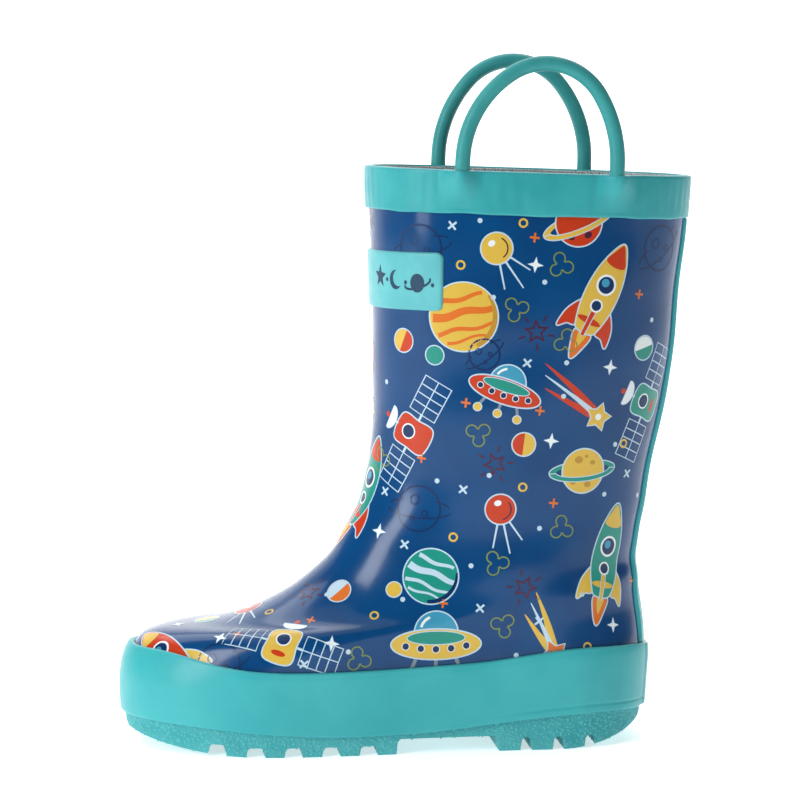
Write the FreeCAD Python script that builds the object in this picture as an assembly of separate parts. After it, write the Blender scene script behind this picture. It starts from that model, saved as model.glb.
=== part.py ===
"""Child's pull-on rubber rain boot (left foot), hand-laid and vulcanised, with two cord pull handles.

Units are millimetres. +Z is up, the toe points along -X, and the outer side of the foot is -Y.
The origin lies on the floor under the centre of the boot's bounding box.

The boot is built from one smooth body surface, given by stations from the sole to the mouth. Each station
is a flat closed curve that runs from a front point to a back point. Every layer of the boot lies between
two offsets of that surface, so neighbouring layers share a face and never overlap.
"""

import FreeCAD
import Part
import math
import os

from FreeCAD import Vector

# ---------------------------------------------------------------- driving dimensions
overall_length = 206.0        # toe of the foxing to the back of the collar
rim_height = 206.0            # at the front
rim_drop = 3.8                # how much lower the rim is at the back
rim_length = 115.1            # front to back, on the upper's outer face
rim_half_width = 36.6
rim_overhang = 16.5           # how far the back of the rim stands behind the heel
ankle_height = 89.0
ankle_length = 98.0
ankle_half_width = 31.4
ball_half_width = 36.6        # of the foot, inside the foxing
waist_half_width = 30.2
heel_half_width = 30.2
foot_sway = 4.5               # how far the toe lies to the inner side
foxing_thickness = 2.2
foxing_height = 23.0
upper_thickness = 2.0         # printed rubber
lining_thickness = 1.4        # cotton knit
reinforcement_thickness = 0.8  # toe puff and heel counter, laid between rubber and lining
toe_puff_length = 38.8
heel_counter_length = 41.2
heel_counter_height = 92.0
collar_thickness = 1.3
collar_height = 15.0
stay_thickness = 1.0
stay_width = 16.0
label_thickness = 1.0
label_bottom = 156.0
label_height = 20.5
label_reach = 22.7            # how far the label runs back from the front of the leg, along X
filler_thickness = 3.0
board_thickness = 1.5
footbed_thickness = 3.4
cloth_thickness = 0.8
footbed_clearance = 0.4       # the footbed lifts out, so it stays clear of the lining
outsole_inset = 1.6           # the outsole's side stands back this far from the foxing
tread_depth = 3.3             # forefoot lugs, below the outsole's plate
forefoot_pitch = 13.25        # from lug to lug
forefoot_gap = 6.6            # between two lugs at the floor
forefoot_first_gap = 27.8     # behind the toe
heel_tread_depth = 4.6
heel_pitch = 11.6
heel_gap = 4.2
heel_first_gap = 7.6          # behind the front of the heel
arch_clearance = 5.4          # underside of the sole between forefoot and heel, above the floor
lug_draft = 0.5
tread_channel = 4.0           # lengthwise channel between the outer and inner lugs
toe_spring_radius = 167.0     # the tread curves up under the toe
heel_spring_radius = 67.0     # and behind the heel
heel_spring_length = 33.2
cord_radius = 2.65            # handle cord
handle_setback = 29.3         # from the front of the rim to the handle's front end, along the rim
handle_span = 54.3            # between the centres of a handle's two ends
handle_rise = {-1: 34.6, 1: 35.9}   # bend line to the middle of the cord at the top: outer, inner
handle_lean = {-1: 1.5, 1: 0.0}     # how far the top leans along the rim
handle_crown_radius = 22.0    # of the arch at its top
handle_seat = 1.8             # cord centre, outwards from the upper's outer face
bend_height = 3.4             # bend line above the rim
bend_clearance = 0.3          # between the cord's rounded end and its anchor
anchor_depth = 10.5           # how far an anchor runs down under the collar
anchor_half_width = 4.2
anchor_thickness = 1.6
beyond = 1.5 * overall_length  # trimming solids run past the boot by this, along X
reach = 3 * ball_half_width   # and by this along Y

toe_x = -overall_length / 2 + foxing_thickness
rim_back = Vector(overall_length / 2 - collar_thickness, 0, rim_height - rim_drop)
rim_front = Vector(rim_back.x - rim_length, 0, rim_height)
heel_x = rim_back.x - rim_overhang
leg_x = heel_x - ankle_length
foot_length = heel_x - toe_x


def front_z(share):
    """Height of a place on the front of the leg, from the ankle (0) to the rim (1)."""
    return ankle_height + share * (rim_front.z - ankle_height)


def back_z(share):
    """Height of a place on the back of the leg, from the ankle (0) to the rim (1)."""
    low = ankle_height + 2
    return low + share * (rim_back.z - low)


def leg_width(share):
    """Half-width of the leg, from the ankle (0) to the rim (1)."""
    return ankle_half_width + share * (rim_half_width - ankle_half_width)


# ---------------------------------------------------------------- body surface
# One row for each station: front x, front z, back x, back z, half-width of the leg, length of the front
# rounding, length of the back rounding, squareness, share of the foot outline, share of the foot's sway
STATIONS = [
    (toe_x + 5.0, -5.0, heel_x - 3.4, -5.0, 34.0, 46.0, 34.0, 0.10, 1.0, 1.0),
    (toe_x + 1.2, 6.0, heel_x - 1.0, 7.5, 34.0, 48.0, 35.0, 0.12, 1.0, 1.0),
    (toe_x, 19.0, heel_x, 21.0, 34.0, 50.0, 36.0, 0.12, 1.0, 1.0),
    (toe_x + 1.2, 30.5, heel_x + 0.8, 33.0, 34.0, 55.0, 37.0, 0.09, 1.0, 0.93),
    (toe_x + 4.6, 37.2, heel_x + 0.5, 39.5, 33.8, 66.0, 38.0, 0.03, 1.0, 0.84),
    (toe_x + 11.8, 41.0, heel_x - 0.3, 45.5, 33.2, 80.0, 39.0, 0.00, 0.92, 0.71),
    (toe_x + 25.0, 42.6, heel_x - 1.2, 51.5, 32.6, 92.0, 40.0, 0.00, 0.78, 0.53),
    (toe_x + 42.5, 46.8, heel_x - 2.0, 58.0, 32.0, 92.0, 41.0, 0.00, 0.55, 0.36),
    (leg_x - 28.7, 55.4, heel_x - 2.4, 64.5, 31.6, 82.0, 43.0, 0.00, 0.30, 0.18),
    (leg_x - 17.4, 64.2, heel_x - 2.0, 71.0, 31.4, 71.0, 45.0, 0.02, 0.14, 0.07),
    (leg_x - 9.2, 75.5, heel_x - 0.7, 79.5, leg_width(0.0), 61.0, 47.0, 0.04, 0.05, 0.0),
    (leg_x - 3.2, front_z(0.0), heel_x + 1.1, back_z(0.0), leg_width(0.08), 54.0, 50.0, 0.06, 0.0, 0.0),
    (leg_x - 0.1, front_z(0.14), heel_x + 4.3, back_z(0.14), leg_width(0.25), 50.0, 52.0, 0.08, 0.0, 0.0),
    (leg_x + 1.2, front_z(0.3), heel_x + 8.1, back_z(0.3), leg_width(0.48), 49.0, 54.0, 0.10, 0.0, 0.0),
    (leg_x + 0.8, front_z(0.52), heel_x + 11.2, back_z(0.52), leg_width(0.73), 48.0, 55.0, 0.12, 0.0, 0.0),
    (leg_x + 0.2, front_z(0.79), heel_x + 14.2, back_z(0.79), leg_width(0.92), 48.0, 56.0, 0.15, 0.0, 0.0),
    (rim_front.x, rim_front.z, rim_back.x, rim_back.z, rim_half_width, 48.0, 57.0, 0.17, 0.0, 0.0),
    (rim_front.x - 0.4, rim_front.z + 14, rim_back.x + 0.8, rim_back.z + 14, rim_half_width, 48.0, 57.0, 0.17,
     0.0, 0.0),
]
RIM_STATION = -2
# Foot outline: share of the foot's length, half-width, and which way its middle sways
FOOT = [
    (0.0, ball_half_width - 3.6, 1.0),
    (0.139, ball_half_width - 1.2, 0.8),
    (0.257, ball_half_width, 0.3),
    (0.461, (ball_half_width + waist_half_width) / 2, -0.25),
    (0.65, waist_half_width, -0.35),
    (0.822, heel_half_width + 0.2, -0.1),
    (1.015, heel_half_width - 0.2, 0.0),
]
# Lines seen from the side: share of the foot's length, underside of the foxing, how much the foxing's
# height differs there
SOLE_LINES = [
    (-0.13, 12.2, 0.4), (0.004, 11.4, 0.8), (0.09, 10.7, 0.9), (0.219, 8.9, -1.0), (0.321, 7.6, -0.9),
    (0.418, 6.9, 0.0), (0.51, 7.2, 0.0), (0.606, 8.2, 0.0), (0.682, 9.7, -0.1), (0.784, 11.6, 0.2),
    (0.897, 12.8, 0.1), (0.999, 12.0, -1.0), (1.133, 11.0, -2.5),
]
arch_start = toe_x + 0.505 * foot_length
arch_end = toe_x + 0.703 * foot_length
toe_spring_start = toe_x + 0.241 * foot_length
heel_spring_start = heel_x - heel_spring_length
AROUND = 40      # points round each station
LEVELS = 34      # stations that a surface is passed through
STEP = 0.002     # step for slopes, in parts of the surface's range


def along_foot(share):
    """X of a place on the foot, from the toe (0) to the heel (1)."""
    return toe_x + share * foot_length


def natural_spline(knots, values):
    """Returns a function: the natural cubic spline through values at knots."""
    n = len(knots)
    gaps = [knots[i + 1] - knots[i] for i in range(n - 1)]
    slopes = [(values[i + 1] - values[i]) / gaps[i] for i in range(n - 1)]
    pivot, right = [0.0] * n, [0.0] * n
    for i in range(1, n - 1):
        diagonal = 2 * (gaps[i - 1] + gaps[i]) - gaps[i - 1] * pivot[i - 1]
        pivot[i] = gaps[i] / diagonal
        right[i] = (6 * (slopes[i] - slopes[i - 1]) - gaps[i - 1] * right[i - 1]) / diagonal
    bends = [0.0] * n
    for i in range(n - 2, 0, -1):
        bends[i] = right[i] - pivot[i] * bends[i + 1]

    def at(x):
        i = 0
        while i < n - 2 and x > knots[i + 1]:
            i += 1
        a, b = (knots[i + 1] - x) / gaps[i], (x - knots[i]) / gaps[i]
        curved = ((a**3 - a) * bends[i] + (b**3 - b) * bends[i + 1]) * gaps[i] ** 2 / 6
        return a * values[i] + b * values[i + 1] + curved

    return at


def station_knots():
    """Places of the stations along the surface, by the mean run of their two ends."""
    knots = [0.0]
    for low, high in zip(STATIONS, STATIONS[1:]):
        front = math.hypot(high[0] - low[0], high[1] - low[1])
        back = math.hypot(high[2] - low[2], high[3] - low[3])
        knots.append(knots[-1] + (front + back) / 2)
    return [k / knots[-1] for k in knots]


KNOTS = station_knots()
RAILS = [natural_spline(KNOTS, [row[i] for row in STATIONS]) for i in range(len(STATIONS[0]))]
FOOT_WIDTH = natural_spline([along_foot(row[0]) for row in FOOT], [row[1] for row in FOOT])
FOOT_SWAY = natural_spline([along_foot(row[0]) for row in FOOT], [row[2] for row in FOOT])


def rounding(run, length, square):
    """Share of the full half-width at a distance run behind a rounded end."""
    t = min(max(run / length, 0.0), 1.0)
    return math.sqrt(max(0.0, 1 - (1 - t) ** 2)) * (1 + square * (1 - t) ** 2)


def body_point(turn, level):
    """Point on the upper's outer face. turn 0 is the front, 0.25 the outer side, 0.5 the back."""
    fx, fz, bx, bz, leg, nose, tail, square, footlike, sway = [rail(level) for rail in RAILS]
    share = (1 - math.cos(2 * math.pi * turn)) / 2
    x, z = fx + (bx - fx) * share, fz + (bz - fz) * share
    run = math.hypot(bx - fx, bz - fz)
    width = leg + footlike * (FOOT_WIDTH(x) - leg)
    half = width * rounding(run * share, nose, square) * rounding(run * (1 - share), tail, square)
    side = -1 if math.sin(2 * math.pi * turn) >= 0 else 1
    return Vector(x, side * half + sway * foot_sway * FOOT_SWAY(x), z)


def body_normal(turn, level):
    """Outward direction of the upper's outer face; at the two ends it stays in the station's plane."""
    low, high = max(level - STEP, 0.0), min(level + STEP, 1.0)
    along = body_point(turn, high) - body_point(turn, low)
    around = body_point(turn + STEP, level) - body_point(turn - STEP, level)
    normal = around.cross(along)
    if level in (0.0, 1.0):
        rung = body_point(0.5, level) - body_point(0.0, level)
        plane = rung.cross(Vector(0, 1, 0)).normalize()
        normal = normal - plane * normal.dot(plane)
    return normal.normalize()


def grid_of(offset):
    """Rows of points on the body surface moved outwards by offset."""
    rows = []
    for i in range(LEVELS):
        level = i / (LEVELS - 1)
        turns = [(j + 0.5) / AROUND for j in range(AROUND)]
        rows.append([body_point(t, level) + body_normal(t, level) * offset for t in turns])
    return rows


def body_solid(offset):
    """Closed plug whose side is the body surface moved outwards by offset."""
    rings = []
    for row in grid_of(offset):
        ring = Part.BSplineCurve()
        ring.interpolate(Points=row, PeriodicFlag=True, Parameters=[j / AROUND for j in range(AROUND + 1)])
        rings.append(ring)
    columns = []
    for j in range(rings[0].NbPoles):
        column = Part.BSplineCurve()
        levels = [i / (LEVELS - 1) for i in range(LEVELS)]
        column.interpolate(Points=[ring.getPole(j + 1) for ring in rings], Parameters=levels)
        columns.append(column)
    surface = Part.BSplineSurface()
    surface.buildFromPolesMultsKnots(
        [column.getPoles() for column in columns],
        rings[0].getMultiplicities(), columns[0].getMultiplicities(),
        rings[0].getKnots(), columns[0].getKnots(), True, False, 3, 3,
    )
    side = surface.toShape()
    caps = [Part.Face(Part.Wire([surface.vIso(v).toShape()])) for v in (0.0, 1.0)]
    shell = Part.Shell([side] + caps)
    shell.sewShape()
    solid = Part.Solid(shell)
    if solid.Volume < 0:
        solid.reverse()
    return solid


# ---------------------------------------------------------------- trimming solids
def side_prism(edges):
    """Solid of a closed outline in the XZ plane, run past both sides of the boot."""
    face = Part.Face(Part.Wire(edges))
    return face.extrude(Vector(0, 2 * reach, 0))


def at_side(x, z):
    """Point of an outline that side_prism extrudes."""
    return Vector(x, -reach, z)


def under_points(points):
    """Everything below a smooth curve through (x, z) points."""
    curve = Part.BSplineCurve()
    curve.interpolate([at_side(x, z) for x, z in points])
    first, last = at_side(*points[0]), at_side(*points[-1])
    low = [Vector(last.x, last.y, -60), Vector(first.x, first.y, -60)]
    return side_prism([curve.toShape(), Part.makeLine(last, low[0]), Part.makeLine(low[0], low[1]),
                       Part.makeLine(low[1], first)])


def under_seat(raised=0.0):
    """Everything below the underside of the foxing, moved up by raised."""
    return under_points([(along_foot(share), seat + raised) for share, seat, _ in SOLE_LINES])


def under_foxing_top():
    """Everything below the top edge of the foxing."""
    rows = [(along_foot(share), seat + foxing_height + more) for share, seat, more in SOLE_LINES]
    return under_points(rows)


def outline_prism(points):
    """Solid of a straight-sided outline of (x, z) points."""
    corners = [at_side(x, z) for x, z in points]
    return side_prism([Part.makeLine(a, b) for a, b in zip(corners, corners[1:] + corners[:1])])


def under_rim(lowered=0.0):
    """Everything below the rim's plane, moved down by lowered."""
    slope = (rim_back.z - rim_front.z) / (rim_back.x - rim_front.x)
    left, right = -beyond, beyond
    high = [rim_front.z + slope * (x - rim_front.x) - lowered for x in (left, right)]
    return outline_prism([(left, -80), (right, -80), (right, high[1]), (left, high[0])])


def above_ground():
    """Everything above the tread's running line: flat, with a curve up at the toe and at the heel."""
    def arc_point(start, radius, degrees, way):
        angle = math.radians(degrees)
        return at_side(start + way * radius * math.sin(angle), radius * (1 - math.cos(angle)))

    toe, heel = at_side(toe_spring_start, 0), at_side(heel_spring_start, 0)
    toe_end = arc_point(toe_spring_start, toe_spring_radius, 24, -1)
    heel_end = arc_point(heel_spring_start, heel_spring_radius, 42, 1)
    toe_arc = Part.Arc(toe_end, arc_point(toe_spring_start, toe_spring_radius, 12, -1), toe).toShape()
    heel_arc = Part.Arc(heel, arc_point(heel_spring_start, heel_spring_radius, 21, 1), heel_end).toShape()
    high = [Vector(heel_end.x, -reach, 60), Vector(toe_end.x, -reach, 60)]
    return side_prism([toe_arc, Part.makeLine(toe, heel), heel_arc, Part.makeLine(heel_end, high[0]),
                       Part.makeLine(high[0], high[1]), Part.makeLine(high[1], toe_end)])


# ---------------------------------------------------------------- handles
def mouth_point(along, out, up):
    """Point given along the rim from its front, sideways, and up from the rim."""
    run = (rim_back - rim_front).normalize()
    rise = Vector(-run.z, 0, run.x)
    return rim_front + run * along + Vector(0, out, 0) + rise * up


def leg_half_width(along):
    """Half-width of the upper's outer face at the rim."""
    run = (rim_back - rim_front).Length
    leg, nose, tail, square = STATIONS[RIM_STATION][4:8]
    return leg * rounding(along, nose, square) * rounding(run - along, tail, square)


def end_points(side):
    """The two points where one handle bends, front first. side is -1 for the outer handle."""
    stations = (handle_setback, handle_setback + handle_span)
    out = max(leg_half_width(a) for a in stations) + handle_seat
    return [mouth_point(a, side * out, bend_height) for a in stations]


def handle_loop(side):
    """Round cord arched between its two ends in three arcs, each end rounded about the bend line."""
    front, rear = end_points(side)
    middle = (front + rear) / 2
    run = (rear - front).normalize()
    rise = Vector(-run.z, 0, run.x)
    axle = run.cross(rise)
    up = handle_rise[side] - handle_crown_radius
    crown = middle + run * handle_lean[side] + rise * up
    pieces = []
    sweep_of_crown = math.pi
    start = None
    for end, way in ((front, 1), (rear, -1)):
        across = handle_span / 2 + way * handle_lean[side]
        radius = (across**2 + up**2 - handle_crown_radius**2) / (2 * (across - handle_crown_radius))
        sweep = math.atan2(up, radius - across)
        centre = end + run * radius * way
        disc = Part.Face(Part.Wire([Part.makeCircle(cord_radius, end, rise)]))
        pieces.append(disc.revolve(centre, axle, -way * math.degrees(sweep)))
        pieces.append(Part.makeSphere(cord_radius, end, rise, -90, 0, 360))
        sweep_of_crown -= sweep
        if way == 1:
            tangent = rise * math.cos(sweep) + run * math.sin(sweep)
            outwards = rise * math.sin(sweep) - run * math.cos(sweep)
            start = crown + outwards * handle_crown_radius
    disc = Part.Face(Part.Wire([Part.makeCircle(cord_radius, start, tangent)]))
    pieces.append(disc.revolve(crown, axle, -math.degrees(sweep_of_crown)))
    return pieces[0].multiFuse(pieces[1:]).removeSplitter()


def upright_loft(side, along, rows):
    """Loft of ellipses stacked along the rim's upward direction.

    Each row is (height above the rim, half-width along the rim, half-width sideways, centre outwards,
    share of the leg's own slant that the ellipse follows).
    """
    slant = (leg_half_width(along + 2) - leg_half_width(along - 2)) / 4
    sections = []
    for up, wide, deep, centre, follow in rows:
        ring = []
        for i in range(10):
            turn = 2 * math.pi * i / 10
            ahead = wide * math.cos(turn)
            out = side * (centre + deep * math.sin(turn) + follow * slant * ahead)
            ring.append(mouth_point(along + ahead, out, up))
        curve = Part.BSplineCurve()
        curve.interpolate(Points=ring, PeriodicFlag=True)
        sections.append(Part.Wire([curve.toShape()]))
    return Part.makeLoft(sections, True, False)


def anchor_rows(side, along, grow):
    """Sections of one anchor, from its flat foot under the collar to the round cord at the bend."""
    cord = abs(end_points(side)[0].y)
    face = leg_half_width(along)
    flat = anchor_thickness / 2
    return [
        (-anchor_depth - 1.6 * grow, anchor_half_width - 0.2 + grow, flat + 0.35 * grow, face + 0.15, 1.0),
        (-anchor_depth + 2, anchor_half_width + grow, flat + 0.75 * grow, face + flat - 0.1, 1.0),
        (-anchor_depth / 2, anchor_half_width - 0.4 + grow, flat + 0.3 + 0.8 * grow, face + flat + 0.3, 0.8),
        (-anchor_depth / 5, cord_radius + 0.7 + grow, cord_radius - 0.6 + 0.8 * grow, cord - 0.5, 0.3),
        (0.0, cord_radius + 0.1 + grow, cord_radius + 0.8 * grow, cord, 0.0),
        (bend_height - 0.9 * cord_radius, cord_radius, cord_radius + 0.8 * grow, cord, 0.0),
    ]


def anchor(side, index):
    """End of the handle's strip under the collar, with a hollow seat for the cord's rounded end."""
    along = handle_setback + index * handle_span
    seat = Part.makeSphere(cord_radius + bend_clearance, end_points(side)[index])
    return upright_loft(side, along, anchor_rows(side, along, 0.0)).cut(seat)


# ---------------------------------------------------------------- layers
def layer(outer, inner):
    """Everything between two offsets of the body surface."""
    return body_solid(outer).cut(body_solid(inner))


def single(shape):
    """The one solid that a shape holds."""
    solids = sorted(shape.Solids, key=lambda solid: solid.Volume)
    return solids[-1]


def tread_cutter(first, last, depth):
    """Drafted gap between two lugs, with a narrower top."""
    top = depth
    return outline_prism([(first, -20), (last, -20), (last, 0), (last - lug_draft, top * 0.8),
                          (last - 3 * lug_draft, top), (first + 3 * lug_draft, top),
                          (first + lug_draft, top * 0.8), (first, 0)])


def make_outsole():
    """Outsole plate with two rows of lugs in the forefoot and two in the heel."""
    block = body_solid(foxing_thickness - outsole_inset).common(under_seat()).common(above_ground())
    first_gap = toe_x + forefoot_first_gap
    for i in range(round((arch_start - first_gap) / forefoot_pitch)):
        first = first_gap + i * forefoot_pitch
        lift = max(toe_spring_start - first, 0.0) ** 2 / (2 * toe_spring_radius)
        block = block.cut(tread_cutter(first, first + forefoot_gap, tread_depth + lift))
    first_heel_gap = arch_end + heel_first_gap
    heel_gaps = int((heel_spring_start + heel_pitch - first_heel_gap) / heel_pitch) + 1
    for i in range(heel_gaps):
        first = first_heel_gap + i * heel_pitch
        block = block.cut(tread_cutter(first, first + heel_gap, heel_tread_depth))
    block = block.cut(tread_cutter(arch_start, arch_end, arch_clearance))
    last_heel_lug = first_heel_gap + heel_gaps * heel_pitch - heel_gap
    for first, last, depth in ((first_gap - 9, arch_start + 1, tread_depth),
                               (arch_end - 1, last_heel_lug, heel_tread_depth)):
        corner = Vector(first, -tread_channel / 2, -20)
        block = block.cut(Part.makeBox(last - first, tread_channel, 20 + depth, corner))
    return single(block)


def make_parts():
    """Every node of the boot, by name."""
    below_rim = under_rim()
    below_seat = under_seat()
    below_board = under_seat(filler_thickness)
    below_lining = under_seat(filler_thickness + board_thickness)
    below_foxing = under_foxing_top()
    lining_face = -upper_thickness - lining_thickness
    inside = body_solid(-upper_thickness)

    parts = {"outsole": make_outsole()}
    parts["foxing_band"] = layer(foxing_thickness, 0.0).common(below_foxing).cut(below_seat)
    parts["upper_shell"] = layer(0.0, -upper_thickness).common(below_rim).cut(below_seat)
    parts["midsole_filler"] = inside.common(below_board).cut(below_seat)
    parts["insole_board"] = inside.common(below_lining).cut(below_board)

    skin = layer(-upper_thickness, -upper_thickness - reinforcement_thickness)
    puff_end, counter_start = toe_x + toe_puff_length, heel_x - heel_counter_length
    toe_zone = outline_prism([(-beyond, 0), (puff_end, 0), (puff_end - 8, 60), (-beyond, 60)])
    heel_zone = outline_prism([(counter_start, 0), (beyond, 0), (beyond, heel_counter_height),
                               (heel_x - 5, heel_counter_height),
                               (counter_start + 14, 0.67 * heel_counter_height)])
    parts["toe_puff"] = skin.common(toe_zone).cut(below_lining)
    parts["heel_counter"] = skin.common(heel_zone).cut(below_lining)
    lining = layer(-upper_thickness, lining_face).common(below_rim).cut(below_lining)
    parts["lining"] = lining.cut(parts["toe_puff"]).cut(parts["heel_counter"])

    footbed = body_solid(lining_face - footbed_clearance)
    cloth_line = filler_thickness + board_thickness + footbed_thickness
    below_cloth = under_seat(cloth_line)
    parts["footbed"] = footbed.common(below_cloth).cut(below_lining)
    parts["footbed_cloth"] = footbed.common(under_seat(cloth_line + cloth_thickness)).cut(below_cloth)

    label_zone = Part.makeBox(label_reach + 60, 2 * reach, label_height,
                              Vector(leg_x - 60, -reach, label_bottom))
    parts["label_patch"] = layer(label_thickness, 0.0).common(label_zone)
    stay_corner = Vector(counter_start, -stay_width / 2, 0)
    stay_zone = Part.makeBox(beyond, stay_width, rim_height, stay_corner)
    stay = layer(stay_thickness, 0.0).common(stay_zone)
    parts["back_stay"] = stay.common(under_rim(collar_height)).cut(below_foxing)

    body = body_solid(0.0)
    band = body_solid(collar_thickness)
    anchors = {}
    for side, name in ((-1, "outer"), (1, "inner")):
        for index, place in enumerate(("front", "rear")):
            along = handle_setback + index * handle_span
            anchors[name + "_handle_" + place + "_anchor"] = anchor(side, index).cut(body)
            band = band.fuse(upright_loft(side, along, anchor_rows(side, along, 1.3)))
        parts[name + "_handle"] = handle_loop(side)
    band = band.cut(body).common(below_rim).cut(under_rim(collar_height))
    for solid in anchors.values():
        band = band.cut(solid)
    parts["collar_band"] = band
    parts.update(anchors)
    return parts


def main():
    """Builds every node and writes one STEP file for each."""
    os.makedirs("parts", exist_ok=True)
    for name, shape in make_parts().items():
        solid = single(shape)
        solid.exportStep("parts/" + name + ".step")


if __name__ == "__main__":
    main()
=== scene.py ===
"""Studio scene of a child's rubber rain boot, dressed piece by piece around its solid model.

Lengths inside the classes are millimetres; meshes are written in metres. The toe points along -X, the
outer side of the foot is -Y and +Z is up.
"""

import logging
import math
from collections.abc import Callable
from dataclasses import dataclass, field
from enum import Enum

import bpy
import numpy as np
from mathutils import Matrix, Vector, geometry


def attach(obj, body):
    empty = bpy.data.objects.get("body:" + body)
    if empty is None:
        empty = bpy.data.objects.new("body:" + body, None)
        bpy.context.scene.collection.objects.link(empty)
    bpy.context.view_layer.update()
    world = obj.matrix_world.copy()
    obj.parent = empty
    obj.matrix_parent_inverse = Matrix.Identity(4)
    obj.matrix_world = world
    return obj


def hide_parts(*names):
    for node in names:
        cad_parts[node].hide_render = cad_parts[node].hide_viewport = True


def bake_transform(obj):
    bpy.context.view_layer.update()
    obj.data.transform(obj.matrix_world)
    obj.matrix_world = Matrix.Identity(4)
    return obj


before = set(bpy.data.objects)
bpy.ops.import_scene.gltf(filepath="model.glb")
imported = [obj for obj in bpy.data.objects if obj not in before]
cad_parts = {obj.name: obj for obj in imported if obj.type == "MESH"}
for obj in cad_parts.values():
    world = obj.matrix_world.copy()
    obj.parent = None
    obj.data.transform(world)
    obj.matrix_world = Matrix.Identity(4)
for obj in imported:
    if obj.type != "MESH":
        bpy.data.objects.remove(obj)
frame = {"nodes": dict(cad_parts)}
log = logging.getLogger("rain_boot")

MM = 0.001
RAIL_PLACES = 4001  # rows of the table that the body surface is read from
HALVINGS = 30  # halvings when a level is searched
# Length of the rim's round front and back, and how much fuller than an ellipse they are.
RIM_NOSE, RIM_TAIL, RIM_SQUARE = 48.0, 57.0, 0.17
INK_LIFT = 0.06  # how far the print stands off the upper
INK_LOWEST, INK_HIGHEST = 0.02, 0.985  # levels between which the print is kept
LEAST_EDGE = 0.06  # shorter edges of a drawing are left out


# ------------------------------------------------------------------------------------------- small helpers
def linear(hex_colour: str) -> tuple[float, float, float, float]:
    """Turns an sRGB hex colour into linear RGBA.

    Args:
        hex_colour: six hex digits with a leading #.

    Returns:
        Linear red, green and blue, with an alpha of 1.
    """
    parts = [int(hex_colour[i : i + 2], 16) / 255 for i in (1, 3, 5)]
    curve = [p / 12.92 if p <= 0.04045 else ((p + 0.055) / 1.055) ** 2.4 for p in parts]
    return (*curve, 1.0)


def add_node(tree: bpy.types.NodeTree, kind: str, inputs: dict | None = None, **settings) -> bpy.types.Node:
    """Adds one node with its settings, values and links.

    Args:
        tree: the shader or geometry tree.
        kind: the node's type name.
        inputs: socket name or index to a value, or to a (node, output) pair that is linked.
        **settings: attributes set on the node itself.

    Returns:
        The new node.
    """
    node = tree.nodes.new(kind)
    for key, value in settings.items():
        setattr(node, key, value)
    set_inputs(tree, node, inputs or {})
    return node


def set_inputs(tree: bpy.types.NodeTree, node: bpy.types.Node, inputs: dict) -> None:
    """Sets or links a node's inputs.

    Args:
        tree: the node's tree.
        node: the node.
        inputs: socket name or index to a value, or to a (node, output) pair that is linked.
    """
    for key, value in inputs.items():
        if isinstance(value, tuple) and len(value) == 2 and isinstance(value[0], bpy.types.Node):
            tree.links.new(value[0].outputs[value[1]], node.inputs[key])
        else:
            node.inputs[key].default_value = value


def new_material(name: str) -> tuple[bpy.types.Material, bpy.types.NodeTree, bpy.types.Node]:
    """Makes a material with nodes.

    Args:
        name: the material's name.

    Returns:
        The material, its tree and its shader.
    """
    material = bpy.data.materials.new(name)
    material.use_nodes = True
    return material, material.node_tree, material.node_tree.nodes["Principled BSDF"]


def cloth_map(piece: bpy.types.Object) -> tuple[bpy.types.MeshUVLoopLayer, np.ndarray]:
    """Adds the UV map called cloth.

    Args:
        piece: a mesh object.

    Returns:
        The map, and the vertex number at each of its corners.
    """
    layer = piece.data.uv_layers.new(name="cloth")
    corners = np.empty(len(piece.data.loops), int)
    piece.data.loops.foreach_get("vertex_index", corners)
    return layer, corners


def evenly(columns: int) -> np.ndarray:
    """Evenly spaced turns, once round the boot."""
    return np.arange(columns) / columns


def end_rounding(distance: np.ndarray | float, length: np.ndarray | float,
                 square: np.ndarray | float) -> np.ndarray:
    """Share of the half-width at a distance behind a rounded end.

    Args:
        distance: how far behind the end.
        length: length of the rounded end.
        square: how much fuller than an ellipse it is.

    Returns:
        The share at each distance.
    """
    t = np.clip(distance / length, 0, 1)
    return np.sqrt(np.maximum(0, 1 - (1 - t) ** 2)) * (1 + square * (1 - t) ** 2)


def smooth_step(value: np.ndarray, low: float, high: float) -> np.ndarray:
    """Returns 0 below low, 1 above high and a smooth rise between them."""
    t = np.clip((value - low) / (high - low), 0.0, 1.0)
    return t * t * (3 - 2 * t)


def natural_spline(knots: np.ndarray, values: np.ndarray, at: np.ndarray) -> np.ndarray:
    """Natural cubic spline through values at knots.

    Args:
        knots: rising places of the values.
        values: one value for each knot.
        at: places to read the spline at.

    Returns:
        The spline's values at those places.
    """
    n = len(knots)
    gaps = np.diff(knots)
    slopes = np.diff(values) / gaps
    matrix, right = np.eye(n), np.zeros(n)
    for i in range(1, n - 1):
        matrix[i, i - 1 : i + 2] = gaps[i - 1], 2 * (gaps[i - 1] + gaps[i]), gaps[i]
        right[i] = 6 * (slopes[i] - slopes[i - 1])
    bends = np.linalg.solve(matrix, right)
    i = np.clip(np.searchsorted(knots, at) - 1, 0, n - 2)
    a, b, gap = (knots[i + 1] - at) / gaps[i], (at - knots[i]) / gaps[i], gaps[i]
    return a * values[i] + b * values[i + 1] + ((a**3 - a) * bends[i] + (b**3 - b) * bends[i + 1]) * gap**2 / 6


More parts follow.
